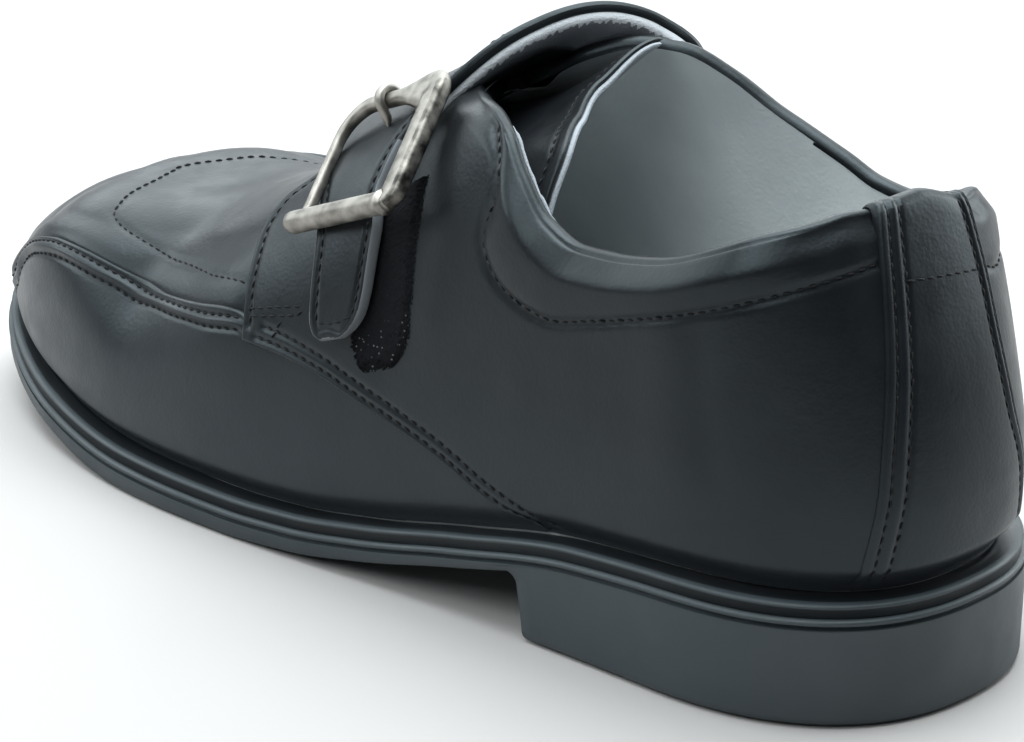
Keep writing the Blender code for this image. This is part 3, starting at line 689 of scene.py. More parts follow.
def sew(line, normal):
    """Stitches along a line: short rounded threads whose ends dip into the leather."""
    along = arc(line, 0)
    count = max(2, int(along[-1] / STITCH_PITCH))
    centre = (np.arange(count) + 0.5) * along[-1] / count
    sides = 6
    ring_place = np.array([-0.5, -0.36, 0.0, 0.36, 0.5]) * STITCH_LENGTH
    ring_size = np.array([0.35, 0.85, 1.0, 0.85, 0.35]) * STITCH_RADIUS
    ring_dip = np.array([-0.22, 0.02, 0.12, 0.02, -0.22])
    middle = along_line(centre, along, line)
    up = along_line(centre, along, normal)
    up /= np.linalg.norm(up, axis=1, keepdims=True)
    following = along_line(np.minimum(centre + 0.3, along[-1]), along, line)
    ahead = following - along_line(np.maximum(centre - 0.3, 0), along, line)
    ahead /= np.linalg.norm(ahead, axis=1, keepdims=True)
    aside = np.cross(ahead, up)
    # each stitch lies a little askew
    ahead = ahead + 0.10 * aside
    points = np.empty((count, len(ring_place), sides, 3))
    for i, (place, size, dip) in enumerate(zip(ring_place, ring_size, ring_dip)):
        hub = middle + ahead * place + up * dip
        for k, angle in enumerate(np.linspace(0, 2 * math.pi, sides, endpoint=False)):
            points[:, i, k] = hub + size * (math.cos(angle) * aside + math.sin(angle) * up)
    one = quads(len(ring_place), sides, around=True)
    start = sum(len(block) for block in stitch_points)
    for i in range(count):
        stitch_faces.append(one + start + i * len(ring_place) * sides)
    stitch_points.append(points.reshape(-1, 3))


def sew_on(seam, base, made):
    """Sews a seam of stations and girths onto a piece's grid."""
    sew(carried(form(*seam), base, made), outward(*seam))


def ripple(points, amount, length):
    """Soft unevenness of lasted leather, in millimetres."""
    s, t, z = points[..., 0], points[..., 1], points[..., 2]
    wave = np.sin(s / length + 0.6 * np.sin(z / (0.7 * length)))
    wave = wave * np.sin(z / (0.8 * length) + t / (1.3 * length))
    return amount * (wave + 0.5 * np.sin(s / (0.45 * length) + 1.7 * z / length))


def top_roll(lift, inner, steps):
    """Lift over a rolled top edge down to an inner lift, and how far it climbs in millimetres."""
    angle = np.linspace(0, math.pi, steps + 1)[1:, None]
    radius = (lift[-1:] - inner) / 2
    return inner + radius + radius * np.cos(angle), 0.7 * radius * np.sin(angle)


def rise_scale(base, rise):
    """Millimetres to one of rise at the top of a grid."""
    return np.linalg.norm(base[-1] - base[-2], axis=-1) / np.maximum(abs(rise[-1] - rise[-2]), 1e-9)


def make_upper():
    """The apron and toe of the vamp, with the seam that outlines the apron's middle."""
    along = stations(UPPER_INSET, TOE_INSET, 4, 60, 90)
    along = along[along > VAMP_REAR][None, :]
    half = np.concatenate([np.linspace(-1, 0, 14)[:-1], np.linspace(0, 1, 92)])
    girth = np.concatenate([half, 2 - half[-2::-1]])[:, None]
    rise = np.where(girth <= 1, girth, 2 - girth)
    base = form(along, girth)
    seam = curve(PLUG_SEAM, 180)
    lift = ripple(base, 0.04, 11) - groove("apron", distance_to(base, form(*seam))) - 0.3 * under(rise)
    # the apron swells towards the lip of the wings
    past = rise - read(WING_TOP_ROWS, "rise", along)
    lift = lift + APRON_SWELL * ease(1 - past / 0.22) * ease(1 + past / 0.05) * ease((along - BEAD_START) / 8)
    # and is fuller than the form behind the toe
    lift = lift + APRON_FULLNESS * hump(along - 150, 13) * ease((rise - 0.34) / 0.28)
    points = lifted(along, girth, lift)
    # the crown is rounded off where its two sides meet at the toe
    soft = (ease((along - 176) / 14) * ease((rise - 0.6) / 0.2))[..., None]
    for _ in range(160):
        mean = (points[:-2] + 2 * points[1:-1] + points[2:]) / 4
        points[1:-1] += (mean - points[1:-1]) * soft[1:-1]
    sew_on(seam, base, points)
    leather_panel("upper_vamp", "upper", points, True)


def make_lining():
    """The light lining inside, up to the top line, where its raw edge shows along the throat."""
    along = stations(UPPER_INSET, TOE_INSET, 40, 90, 50)[None, :]
    # rows up the wall and then over its edge: share of the height, turn outwards and drop
    wall = np.linspace(0, 1, 60)
    share = np.concatenate([wall, np.ones(5)])[:, None]
    edge = np.concatenate([0 * wall, [0.25, 0.6, 1.0, 1.1, 1.1]])[:, None]
    drop = np.concatenate([0 * wall, [-0.15, -0.3, -0.2, 0.4, 2.0]])[:, None]
    points, faces = [], []
    for side in (1, -1):
        raw = raw_edge(along, side)
        ragged = 0.35 * np.sin(along * 2.9) * np.sin(along * 1.3 + 1)
        hang = 1.5 * (1 - raw) + (0.2 - ragged) * raw
        # under the strap the lining goes up over the inner edge
        over = ease((along - 46) / 26) * ease((100 - along) / 6) * (side < 0)
        hang = hang * (1 - over) + 0.1 * over
        top = np.where(along >= THROAT, 1.0, rise_of_height(along, topline(along, side) - hang))
        scale = np.linalg.norm(form(along, top) - form(along, top - 0.02), axis=-1) / 0.02
        rise = -1 + (top + 1) * share - drop / scale * (top < 1)
        girth = girth_of(np.minimum(rise, 1.0), side)
        base = form(along, girth)
        seam = hump(base[..., 0] - (52 - 0.35 * (base[..., 2] - 20)), 0.9) * (side < 0) * (edge == 0)
        lift = ripple(base, 0.10, 7) - SHELL - 0.1 + 0.5 * edge * raw - 0.35 * seam
        lift = lift - 0.75 * over * ease((share - 0.6) / 0.3)
        start = sum(len(block) for block in points)
        points.append(lifted(along, girth, lift).reshape(-1, 3))
        faces.append(quads(len(share), along.shape[1], start, side < 0))
    pale = np.repeat(edge[1:, 0] > 0, along.shape[1] - 1)
    looks = np.concatenate([pale, 0 * pale])
    points = np.concatenate(points)
    piece("lining", points, np.concatenate(faces), [LINING, LINING_EDGE], [], "lining", looks)


def collar_shape(station, base, side):
    """Fullness of the padded collar, distance from its seam, and the seam's stations and girths."""
    def drop(at):
        """How far the seam follows the top line down from its lateral height."""
        return topline(at, side) - topline(at, 1) - (3.2 * ease((16 - at) / 10) if side < 0 else 0.0)

    seam_station, seam_height = curve(COLLAR_SEAM, 80, 1)
    outline = np.concatenate([np.stack([seam_station, seam_height], -1), COLLAR_CORNERS])
    covered = inside(station, base[..., 2] - drop(station), outline)
    seam = seam_station, girth_of(rise_of_height(seam_station, seam_height + drop(seam_station)), side)
    distance = distance_to(base, form(*seam))
    puff = np.where(covered, 1 - np.exp(-distance / 2.6), 0) * ease((station - 6) / 20)
    return puff, distance, seam


def make_quarter(side):
    """A quarter with its padded collar rolled over the top line."""
    name = SIDES[side]
    heel_end = BACKSTAY_ROWS[5][BACKSTAY_ROWS[0].index(name)] - STRIP_OVERLAP
    front = QUARTER_FRONT_ROWS[1][1]
    nominal = (heel_end + (front - heel_end) * clustered(190, 0.75) ** 1.15)[None, :]
    share = clustered(120, 0.8)[:, None]
    low = low_edge(nominal)
    open_edge = ease((THROAT - nominal) / 8)
    under_strip = 0.8 * ease((9 - nominal) / 4)
    high = rise_of_height(nominal, topline(nominal, side) - ROLL_DROP * open_edge - under_strip)
    high = np.minimum(np.where(nominal >= THROAT, 1.0, high), 0.985)
    rise = rows_by_height(nominal, low, high, share)
    strip_edge = read(BACKSTAY_ROWS, name, form(heel_end, rise)[..., 2]) - STRIP_OVERLAP
    at_heel = np.clip((24 - nominal) / (24 - heel_end), 0, 1)
    front_edge = read(QUARTER_FRONT_ROWS, "station", rise)
    at_front = np.clip((nominal - THROAT) / (front - THROAT), 0, 1)
    station = nominal + (strip_edge - heel_end) * at_heel + (front_edge - front) * at_front
    girth = girth_of(rise, side)
    base = form(station, girth)
    up, from_top, _, from_front = edge_ways(base)
    from_low = np.where(low > LOWEST, up, 5.0)
    edge = rolled(np.minimum(from_low, from_front), EDGE_ROUND["quarter"])
    puff, to_collar, collar = collar_shape(station, base, side)
    lift = QUARTER * edge * (1 - under(rise)) + COLLAR_PAD * puff * rolled(from_top, 6.0)
    lift = lift - groove("collar", to_collar) + ripple(base, 0.09, 10) * edge
    lift = lift - COLLAR_TAPER * ease(1 - from_top / 4.5) * open_edge
    seams = [seam_on(QUARTER_FRONT_SEAM, side)]
    for above in QUARTER_LOW_SEAMS:
        along = np.linspace(124, 63, 60) - 0.8 * above
        seams.append(seam_on(np.stack([along, low_edge(along, above)], -1), side))
    for seam in seams:
        lift = lift - groove("quarter", distance_to(base, form(*seam)))
    for start, finish, depth, width in QUARTER_CREASES:
        crease = form(*seam_on((start, finish), side, 30))
        lift = lift + depth * hump(distance_to(base, crease), width) * edge
    outer = lifted(station, girth, lift)
    # the edge rolls over the top line and a little way down inside, less far where the lining's edge shows
    inner = -SHELL - 0.4
    roll_lift, climb = top_roll(lift, inner, 8)
    raw = raw_edge(station[-1:], side)
    roll_lift = np.where(raw > 0, np.maximum(roll_lift, inner + (-0.9 - inner) * raw), roll_lift)
    down = np.array([0.2, 0.4, 0.6])[:, None]
    roll_rise = rise[-1:] + np.concatenate([climb * open_edge, -down + 0 * nominal]) / rise_scale(base, rise)
    roll_lift = np.concatenate([roll_lift, roll_lift[-1:] + 0 * down])
    roll = lifted(station[-1:], girth_of(np.minimum(roll_rise, NEAR_RIDGE), side), roll_lift)
    leather_panel("quarter_" + name + "_leather", "quarter_" + name, np.concatenate([outer, roll]), side > 0)
    for seam in seams + [seam_on(BAR_TACK, side), seam_on(BAR_TACK_LEG, side), collar]:
        sew_on(seam, base, outer)


def make_wing(side):
    """A side panel of the vamp, with the raised bead between the two seams that edge the apron."""
    name = SIDES[side]
    first = WING_TOP_ROWS[1][0]
    final = WING_TOP_ROWS[-1][0]
    along = (WING_REAR + (final - WING_REAR) * (1 - (1 - np.linspace(0, 1, 220)) ** 1.6))[None, :]
    share = (1 - (1 - np.linspace(0, 1, 110)) ** 1.8)[:, None]
    high = read(WING_TOP_ROWS, "rise", along)
    high = np.where(along < first, np.minimum(low_edge(along, 1.2), high), high)
    rise = rows_by_height(along, LOWEST, high, share)
    girth = girth_of(rise, side)
    base = form(along, girth)
    _, from_top, _, from_toe = edge_ways(base)
    upper_seam = seam_on(APRON_UPPER_SEAM, side, 120)
    lower_seam = seam_on(APRON_LOWER_SEAM, side, 120)
    to_upper = distance_to(base, form(*upper_seam))
    to_lower = distance_to(base, form(*lower_seam))
    between = np.clip(1 - abs(to_upper - to_lower) / 1.9, 0, 1)
    bead = WING_BEAD * between * np.clip(1 - (to_upper + to_lower - 2.3) / 1.5, 0, 1)
    lip = (LATERAL_LIP if side > 0 else MEDIAL_LIP) * np.clip((3.6 - from_top) / 2.4, 0, 1)
    lift = WING * (1 - under(rise)) + lip * ease((along - 126.5) / 5)
    lift = lift * rolled(np.minimum(from_top, from_toe), EDGE_ROUND["wing"]) + ripple(base, 0.06, 10)
    sewn = bead - groove("wing", to_upper) - groove("wing", to_lower)
    points = lifted(along, girth, lift + np.clip((along - BEAD_START) / 4, 0, 1) * sewn)
    leather_panel("wing_" + name + "_leather", "wing_" + name, points, side > 0)
    for seam in (upper_seam, lower_seam):
        sew(carried(form(*seam), base, points), outward(*lower_seam))


def make_backstay():
    """The strip up the back of the heel, with a pair of seams along each edge and one across the top."""
    share = clustered(120, 0.6)[:, None]
    turn = (2 * clustered(120, 0.5) - 1)[None, :]
    lateral_top = rise_of_height(HEEL_STATION, topline(HEEL_STATION, 1) - BACKSTAY_DROP)
    medial_top = rise_of_height(MEDIAL_HEEL_STATION, topline(MEDIAL_HEEL_STATION, -1) - ROLL_DROP)
    top = medial_top + (lateral_top - medial_top) * ease(1 + turn / 0.9)
    rise = rows_by_height(HEEL_STATION, LOWEST, top, share)

    def place(rise, turn):
        """Station and girth of a point, whose turn runs from -1 at the medial edge to 1 at the lateral."""
        height = form(HEEL_STATION, rise)[..., 2]
        lateral, medial = (read(BACKSTAY_ROWS, name, height) for name in ("lateral", "medial"))
        reach = np.where(turn > 0, lateral, medial) - UPPER_INSET
        station = UPPER_INSET + reach * abs(turn) ** HEEL_POWER
        return station, np.where(turn > 0, rise, 2 - rise)

    station, girth = place(rise, turn)
    base = form(station, girth)
    _, from_top, from_medial, from_lateral = edge_ways(base)
    from_side = {1: from_lateral, -1: from_medial}
    edge = rolled(np.minimum(from_lateral, from_medial), EDGE_ROUND["backstay"])
    lift = 1.2 + (BACKSTAY - 1.2) * edge + 0.25 * (1 - ease((from_lateral - 1.7) / 0.6)) * edge
    # a bead between the seams of each pair
    lift = lift + 0.3 * hump(from_lateral - 3.2, 0.8) + 0.2 * hump(from_medial - 2.1, 0.7)
    for side, inset in BACKSTAY_SEAMS:
        lift = lift - groove("backstay", from_side[side] - inset)
    lift = (lift + 0.4 * rolled(from_top, 3.0) - 0.4) * (1 - under(rise))
    outer = lifted(station, girth, lift)
    inner = -SHELL - 0.2
    roll_lift, climb = top_roll(lift, inner, 7)
    down = np.array([0.005, 0.01, 0.015])[:, None]
    roll_rise = np.concatenate([rise[-1:] + climb / rise_scale(base, rise), rise[-1:] - down])
    roll_lift = np.concatenate([roll_lift, inner + 0 * down + 0 * turn])
    roll = lifted(*place(roll_rise, turn), roll_lift)
    leather_panel("backstay_leather", "backstay", np.concatenate([outer, roll]), True)
    row = np.arange(9, len(rise))
    for side, inset in BACKSTAY_SEAMS:
        column = np.argmin(abs(from_side[side] - inset), axis=1)[row]
        sew(outer[row, column], outward(station[row, column], girth[row, column]))
    seam_turn = turn[0, 28:-30]
    seam_rise = rise_of_height(HEEL_STATION, CROSS_SEAM_HEIGHT + CROSS_SEAM_SLOPE * seam_turn)
    sew_on(place(seam_rise, seam_turn), base, outer)


def make_tongue():
    """The tongue: leather over a light lining that shows as a thin line at its free edge."""
    across = np.linspace(TONGUE_ROWS[1][0], TONGUE_ROWS[-1][0], 80)[:, None]
    share = (np.linspace(0, 1, 70) ** 1.5)[None, :]
    edge = read(TONGUE_ROWS, "station", across)
    drop = read(TONGUE_ROWS, "sag", across)

    def sag_at(station):
        return drop * ease((TONGUE_LEVEL - station) / (TONGUE_LEVEL - edge))

    # name, start past the edge, lift of the outer and the inner face, material, nodes and slot
    layers = (
        ("tongue_leather", 0.0, -2.05, -3.05, LEATHER, ["tongue"], "leather"),
        ("tongue_lining", -0.15, -3.1, -4.1, LINING_EDGE, [], "lining"),
    )
    for name, start, high, low, material, nodes, slot in layers:
        station = edge + start + (TONGUE_FRONT - edge) * share
        sag = sag_at(station)
        base = form(station, across, sag)
        from_lateral, from_medial, ahead, _ = edge_ways(base)
        from_edge = np.minimum(ahead, np.minimum(from_lateral, from_medial))
        middle = (high + low) / 2
        half = (high - low) / 2 * rolled(from_edge, EDGE_ROUND["tongue"])
        crease = groove("tongue", ahead - TONGUE_SEAM) if nodes else 0.0
        outer = lifted(station, across, middle + half - crease, sag)
        inner = lifted(station, across, middle - half, sag)
        piece(name, *two_faced(outer, inner), [material], nodes, slot)
    station = edge + TONGUE_SEAM
    station, girth, sag = (value[3:-3, 0] for value in (station, across, sag_at(station)))
    sew(lifted(station, girth, -2.2, sag), outward(station, girth, sag))


def strap_lift(girth):
    """Lift of the strap's underside: high over the pile patch, and down on the quarter at its sewn end."""
    low = STRAP_LOW - (STRAP_LOW - QUARTER) * ease((girth - 1.32) / 0.2)
    return STRAP_HIGH + (low - STRAP_HIGH) * np.clip((girth - STRAP_STEP[0]) / np.ptp(STRAP_STEP), 0, 1)


def make_strap():
    """The strap: leather with pale cut edges at its tip, lined underneath where it crosses the throat."""
    tip = STRAP_ROWS[1][0]
    end = STRAP_ROWS[-1][0]
    fine = tip + 0.03 * np.linspace(0, 1, 14)[:-1] ** 2
    girth = np.concatenate([fine, np.linspace(tip + 0.03, end, 170)])[:, None]
    station = band(STRAP_ROWS, girth, 60, 0.9)
    base = form(station, girth)
    along, _, across, from_front = edge_ways(base)
    from_edge = np.minimum(np.minimum(across, from_front), along + 0.02)
    middle = strap_lift(girth) + STRAP / 2
    half = STRAP / 2 * rolled(from_edge, EDGE_ROUND["strap"])
    seam = groove("strap", from_edge - STRAP_SEAM) * (girth < 0.9)
    dome = STRAP_DOME * rolled(from_edge, 3.0) * (1 - ease((girth - 0.6) / 0.15))
    outer = lifted(station, girth, middle + half + dome - seam)
    inner = lifted(station, girth, middle - half)
    # the cut edge is pale towards the tip, and tape covers the underside inside the rear edge
    cell_edge = (from_edge[:-1, :-1] + from_edge[1:, 1:]) / 2
    cell_rear = (across[:-1, :-1] + across[1:, 1:]) / 2
    pale = (cell_edge < 0.5) & ((girth[:-1] + girth[1:]) / 2 < PALE_BELOW)
    beneath = np.where(pale, 1, np.where(cell_rear < 1.6, 0, 2))
    looks = np.concatenate([pale.ravel(), beneath.ravel()])
    materials = [LEATHER, CUT_EDGE, HOOK]
    piece("strap_leather", *two_faced(outer, inner), materials, ["strap"], "leather", looks)
    # the lining's torn edge shows as a light strip under the rear edge, and the lining goes on from there
    edge_girth = np.linspace(0.56, 1.5, 420)[:, None]
    edge_rear = read(STRAP_ROWS, "rear", edge_girth)
    reach = np.linspace(0, 1, 30)[None, :]
    hang = 2.6 * (1 - (1 - reach) ** 2)
    strip = lifted(edge_rear + 0.5 + 9.0 * reach ** 2.6, edge_girth, strap_lift(edge_girth) - 0.05 - hang)
    torn = 0.32 + 0.05 * np.sin(edge_girth * 61) * np.sin(edge_girth * 173) + 0.03 * np.sin(edge_girth * 311)
    looks = np.where(reach[:, :-1] < torn[:-1], 0, 1).ravel()
    piece("strap_lining", strip, quads(*strip.shape[:2]), [FRAYED, HOOK], [], "lining", looks)

    def at(row, distance):
        return np.interp(distance, across[row], station[row])

    # a seam down the rear edge, round the tip and up the front edge, and one across the sewn end
    top = np.argmin(abs(girth[:, 0] - STRAP_SEAM_END))
    first = int(np.argmax(along[:, 30] > 3.0))
    line = [(at(i, STRAP_SEAM), girth[i, 0]) for i in range(top, first - 1, -1)]
    width = across[first, -1] - 2 * STRAP_SEAM
    for share in np.linspace(0.2, 0.8, 6):
        bow = 0.006 * math.sin(share * math.pi)
        line.append((at(first, STRAP_SEAM + width * share), girth[first, 0] - bow))
    line += [(at(i, across[i, -1] - STRAP_SEAM), girth[i, 0]) for i in range(first, top)]
    sew_on(np.array(line).T, base, outer)
    end_station = np.linspace(station[-1, 0] + 2, station[-1, -1] - 2, 60)
    sew_on((end_station, np.full(60, STRAP_END_SEAM)), base, outer)


def make_pile_patch():
    """The fuzzy patch that the strap's tip closes on, with more lint at its lower end."""
    girth = np.linspace(PILE_ROWS[1][0], PILE_ROWS[-1][0], 120)[:, None]
    station = band(PILE_ROWS, girth, 60, 0.6)
    fuzz = np.random.default_rng(4).normal(0, 0.07, station.shape)
    from_end, _, from_rear, from_front = edge_ways(form(station, girth))
    from_edge = np.minimum(np.minimum(from_rear, from_front), from_end)
    lift = QUARTER - 0.15 + 0.85 * ease((from_edge + 4 * fuzz) / 2.4) + fuzz * rolled(from_edge, 1.0)
    points = lifted(station, girth, lift)
    faces = quads(*station.shape, 0, True)
    looks = np.repeat(girth[:-1, 0] < LINT_BELOW, station.shape[1] - 1)
    piece("pile_patch_fuzz", points, faces, [PILE, PILE_LINT], ["pile_patch"], "pile", looks)


def buckle_axes():
    """Middle of the buckle and its directions: along its bars, from near to far, and out of its plane."""
    near = np.array(BUCKLE_NEAR)
    far = np.array(BUCKLE_FAR)
    along = np.array(BUCKLE_ALONG) / np.linalg.norm(BUCKLE_ALONG)
    over = far - near
    over = over - along * np.dot(over, along)
    reach = np.linalg.norm(over)
    over = over / reach
    return (near + far) / 2, along, over, np.cross(along, over), reach


def rod(path, widths, heights, wide, high, squareness, sides=ROD_SIDES):
    """A rod along a path with a rounded, more or less square section. Returns points and quads."""
    turn = np.linspace(0, 2 * math.pi, sides, endpoint=False)
    power = 2 / np.broadcast_to(squareness, len(path))[:, None]
    x = np.sign(np.cos(turn)) * abs(np.cos(turn)) ** power * widths[:, None]
    y = np.sign(np.sin(turn)) * abs(np.sin(turn)) ** power * heights[:, None]
    wide = np.broadcast_to(wide, path.shape)[:, None]
    high = np.broadcast_to(high, path.shape)[:, None]
    points = path[:, None] + x[..., None] * wide + y[..., None] * high
    return points.reshape(-1, 3), quads(len(path), sides, around=True)


def make_buckle():
    """The cast frame with a stout rounded near bar, and the prong hooked over its far bar."""
    middle, along, over, out, reach = buckle_axes()
    half_deep = reach / 2
    bars = {name: np.array(size) for name, size in BUCKLE_BARS.items()}

    def round_corner(corner, share):
        x, y, radius = BUCKLE_CORNERS[corner % 4][:3]
        angle = (corner + share) * math.pi / 2
        direction = math.cos(angle) * along + math.sin(angle) * over
        hub = middle + x * (BUCKLE_LENGTH / 2 - radius) * along + y * (half_deep - radius) * over
        return hub + radius * direction, direction

    path, wide, sizes = [], [], []
    for corner, (*_, before, after) in enumerate(BUCKLE_CORNERS):
        broad = np.array(BUCKLE_WEB) * (after == "far")
        for share in np.linspace(0, 1, 14):
            place, direction = round_corner(corner, share)
            path.append(place)
            wide.append(direction)
            sizes.append(bars[before] * (1 - ease(share)) + (bars[after] + broad) * ease(share))
        finish, direction = round_corner(corner + 1, 0)
        start = path[-1]
        for share in np.linspace(0, 1, 18)[1:-1]:
            path.append(start + (finish - start) * share)
            wide.append(direction)
            sizes.append(bars[after] + broad * (1 - ease(share / 0.6)))
    path, wide, sizes = (np.array(values + values[:1]) for values in (path, wide, sizes))
    points, faces = rod(path, sizes[:, 0], sizes[:, 1], wide, out, sizes[:, 2])
    # the near bar's own round sleeve, which overhangs the front bar and flares at its rear end
    way = np.linspace(*SLEEVE_ENDS, 40)
    from_end = np.minimum(way - way[0], way[-1] - way)
    size = SLEEVE_RADIUS * np.clip(rolled(from_end, 1.1), 0.05, 1)
    size = size + 0.45 * ease((way - 8.6) / 2.0) * rolled(from_end, 0.4)
    sleeve = middle - half_deep * over + way[:, None] * along
    sleeve_points, sleeve_faces = rod(sleeve, size, size, over, out, 2.3)
    # the outer half of the rear bar is still dull
    row, column = np.divmod(np.arange(len(faces)), ROD_SIDES)
    dull = ((row > 93) | (row < 6)) & (np.cos((column + 0.5) * 2 * math.pi / ROD_SIDES) > 0.25)
    looks = np.concatenate([dull, np.zeros(len(sleeve_faces), bool)])
    faces = np.concatenate([faces, sleeve_faces + len(points)])
    points = np.concatenate([points, sleeve_points])
    piece("buckle_frame_cast", points, faces, [NICKEL, DULL_NICKEL], ["buckle_frame"], "nickel", looks)
    bend = np.radians(np.linspace(-40, 155, 26))
    across = half_deep + np.concatenate([PRONG_BEND * np.cos(bend), [-2.3, -2.8, -3.4, -4.1]])
    up = np.concatenate([PRONG_BEND * np.sin(bend), [0.1, -0.7, -1.3, -1.8]])
    path = middle + PRONG_PLACE * along + across[:, None] * over + up[:, None] * out
    tangent = np.gradient(path, axis=0)
    tangent /= np.linalg.norm(tangent, axis=1, keepdims=True)
    thick = np.full(len(path), PRONG_RADIUS)
    thick[[0, -1]] = 0.1
    thick[[1, -2]] = 0.55
    prong = rod(path, thick * 1.25, thick, along, np.cross(along, tangent), 2.4, PRONG_SIDES)
    piece("buckle_prong_wire", *prong, [NICKEL], ["buckle_prong"], "nickel")


def ring(inset, height, steps=(40, 70, 90), finish=None):
    """A loop round the plan, drawn in by an inset: along the lateral side and back along the medial."""
    along = stations(inset, inset, *steps)
    if finish is not None:
        along = np.concatenate([along[along < finish - 0.2], [finish]])
    back = along[-2:0:-1] if finish is None else along[:0:-1]
    lateral = np.stack([along, plan_half(along, 1, inset, inset), height(along)], -1)
    medial = np.stack([back, -plan_half(back, -1, inset, inset), height(back)], -1)
    return np.concatenate([lateral, medial])


def caps(count, start):
    """Quads and triangles across a loop, between its lateral and medial halves."""
    found = []
    for i in range((count + 1) // 2 - 1 + (count % 2 == 0)):
        corners = (i, i + 1, (count - i - 1) % count, (count - i) % count)
        found.append([start + c for c in dict.fromkeys(corners)])
    return found


def closed_stack(rings):
    """Points and faces of a stack of loops, closed across the final one."""
    count = len(rings[0])
    faces = quads(len(rings), count, 0, True, True).tolist()
    return np.concatenate(rings), faces + caps(count, (len(rings) - 1) * count)


def sole_height(offset):
    """Height function a set distance below the top of the sole."""
    return lambda s: np.maximum(last("feather", s) - 0.3 - offset, last("under", s) + 0.9)


def make_sole():
    """The moulded unit sole: a flat dark welt edge between two fine beads, over the plain lower side."""
    # inset and distance below the top of each loop
    top = (
        (6.4, 0.0), (2.0, 0.0), (1.45, 0.05), (1.05, 0.18), (0.82, 0.42), (0.85, 0.68), (1.0, 0.82),
        (1.0, 2.2), (1.3, 2.45),
    )
    rings = [ring(inset, sole_height(offset)) for inset, offset in top]
    faces = quads(len(rings), len(rings[0]), 0, True, True)
    loop = np.arange(len(faces)) // len(rings[0])
    # the dark welt rubber covers the top face and the flat band; on the top face, in the recess under the
    # upper, it is painted shade
    looks = (loop > 0) & (loop < 6)
    piece("welt_edge", np.concatenate(rings), faces, [WELT_AND_RECESS_SHADE, SOLE], ["welt"], "sole", looks)
    middle = (
        (1.6, 2.3), (0.9, 2.36), (0.5, 2.5), (0.28, 2.75), (0.25, 3.05), (0.4, 3.3), (0.9, 3.45),
        (1.05, 3.65), (0.9, 3.88), (0.5, 4.02),
    )
    rings = [ring(inset, sole_height(offset)) for inset, offset in middle]
    rings.append(ring(0.45, lambda s: np.maximum(last("feather", s) - 4.3, last("under", s) + 0.8)))
    # inset and distance above the underside
    for inset, above in ((0.4, 0.75), (0.6, 0.4), (1.0, 0.12), (1.7, 0.0)):
        rings.append(ring(inset, lambda s: last("under", s) + above))
    piece("outsole_rubber", *closed_stack(rings), [SOLE], ["outsole"], "sole", flat_angle=50)


def make_heel():
    """The heel, in one with the lower side of the sole, with a filleted breast."""
    low = 0.16 * np.linspace(1, 0, 9) ** 1.6
    rings = []
    for share in np.concatenate([np.linspace(1, 0.72, 10), np.linspace(0.6, 0.2, 4), low]):
        inset = 0.34 + 0.4 * (1 - share) + 1.2 * max(0, 1 - share / 0.08) ** 2
        breast = HEEL_BREAST + 0.6 + 1.4 * share + 3.2 * max(0, (share - 0.72) / 0.28) ** 2.6
        breast -= 2.0 * max(0, 1 - share / 0.14) ** 2
        rings.append(ring(inset, lambda s: share * (last("under", s) + 1.2), (40, 60, 10), breast))
    # every loop gets the same count of points
    count = min(len(loop) for loop in rings)
    for i, loop in enumerate(rings):
        length = arc(loop, 0)
        rings[i] = along_line(np.linspace(0, 1, count) * length[-1], length, loop)
    piece("heel_rubber", *closed_stack(rings), [SOLE], ["heel"], "heel", flat_angle=50)


def make_insole():
    """The footbed inside."""
    rings = []
    for inset, above in ((5.2, -1.0), (5.2, 1.4), (5.6, 1.9), (6.6, 2.2), (9.0, 2.3)):
        rings.append(ring(inset, lambda s: last("feather", s) + above))
    piece("insole_footbed", *closed_stack(rings), [LINING], ["insole"], "lining")


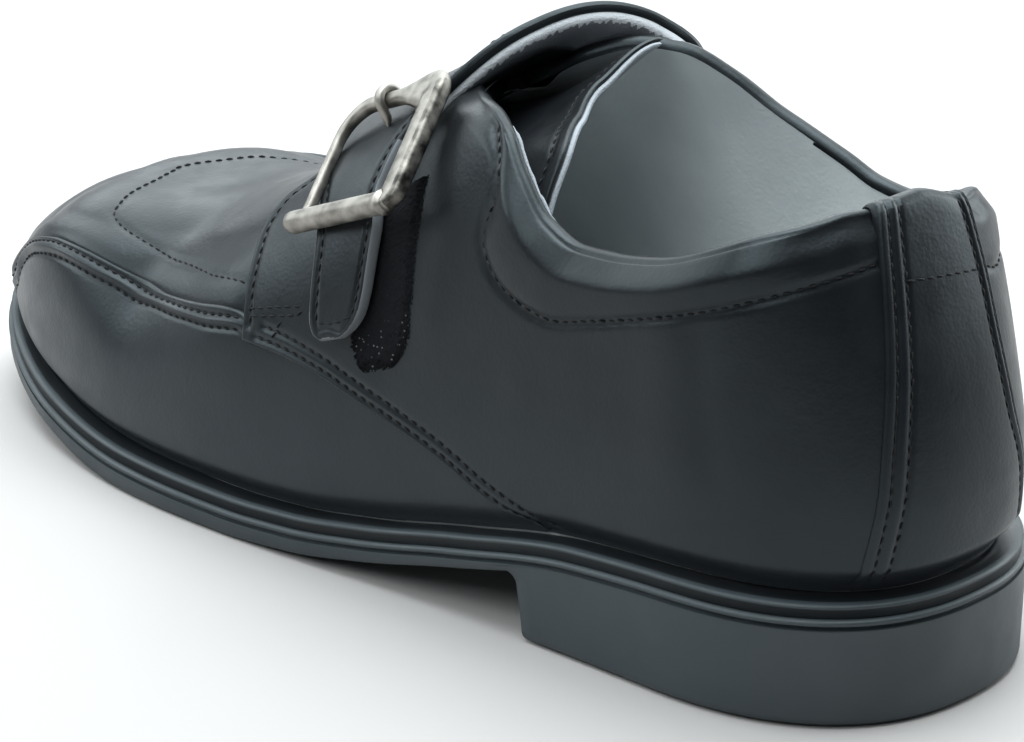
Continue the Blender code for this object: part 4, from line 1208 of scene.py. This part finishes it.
def make_stage():
    """A pale floor, soft lights and the camera."""
    scene = bpy.context.scene
    mesh = bpy.data.meshes.new("floor")
    corners = [(x * FLOOR_HALF, y * FLOOR_HALF, 0) for x, y in ((-1, -1), (1, -1), (1, 1), (-1, 1))]
    mesh.from_pydata(corners, [], [(0, 1, 2, 3)])
    mesh.materials.append(Look("pale_floor", (0.44, 0.42, 0.41), 0.9, specular=0.1).material)
    floor = bpy.data.objects.new("floor", mesh)
    scene.collection.objects.link(floor)
    world = bpy.data.worlds.new("studio")
    world.use_nodes = True
    background = world.node_tree.nodes["Background"]
    background.inputs["Color"].default_value = (0.80, 0.88, 0.95, 1)
    background.inputs["Strength"].default_value = 0.10
    scene.world = world
    for name, place, aim, width, depth, watts in LIGHTS:
        data = bpy.data.lights.new(name, "AREA")
        data.shape = "RECTANGLE"
        data.size = width
        data.size_y = depth
        data.energy = watts
        data.color = LIGHT_COLOUR
        lamp = bpy.data.objects.new(name, data)
        lamp.location = place
        lamp.rotation_euler = (Vector(aim) - Vector(place)).to_track_quat("-Z", "Y").to_euler()
        scene.collection.objects.link(lamp)
    data = bpy.data.cameras.new("camera")
    data.sensor_width = SENSOR_WIDTH
    data.lens = SENSOR_WIDTH * FOCAL_PIXELS / IMAGE_WIDTH
    data.clip_start = 0.01
    data.clip_end = 20
    camera = bpy.data.objects.new("camera", data)
    azimuth = math.radians(CAMERA_AZIMUTH)
    elevation = math.radians(CAMERA_ELEVATION)
    level = math.cos(elevation)
    back = Vector((math.sin(azimuth) * level, -math.cos(azimuth) * level, math.sin(elevation)))
    camera.location = Vector(to_world(LOOK_AT)[0]) + back * CAMERA_DISTANCE
    camera.rotation_euler = (-back).to_track_quat("-Z", "Y").to_euler()
    scene.collection.objects.link(camera)
    scene.camera = camera
    scene.view_settings.view_transform = "Standard"
    scene.view_settings.look = "None"
    scene.view_settings.exposure = 0.0


def main():
    make_upper()
    make_lining()
    for side in (1, -1):
        make_quarter(side)
        make_wing(side)
    make_backstay()
    make_tongue()
    make_pile_patch()
    make_strap()
    make_buckle()
    make_sole()
    make_heel()
    make_insole()
    piece("stitching", np.concatenate(stitch_points), np.concatenate(stitch_faces), [THREAD], [], "leather")
    make_stage()


main()
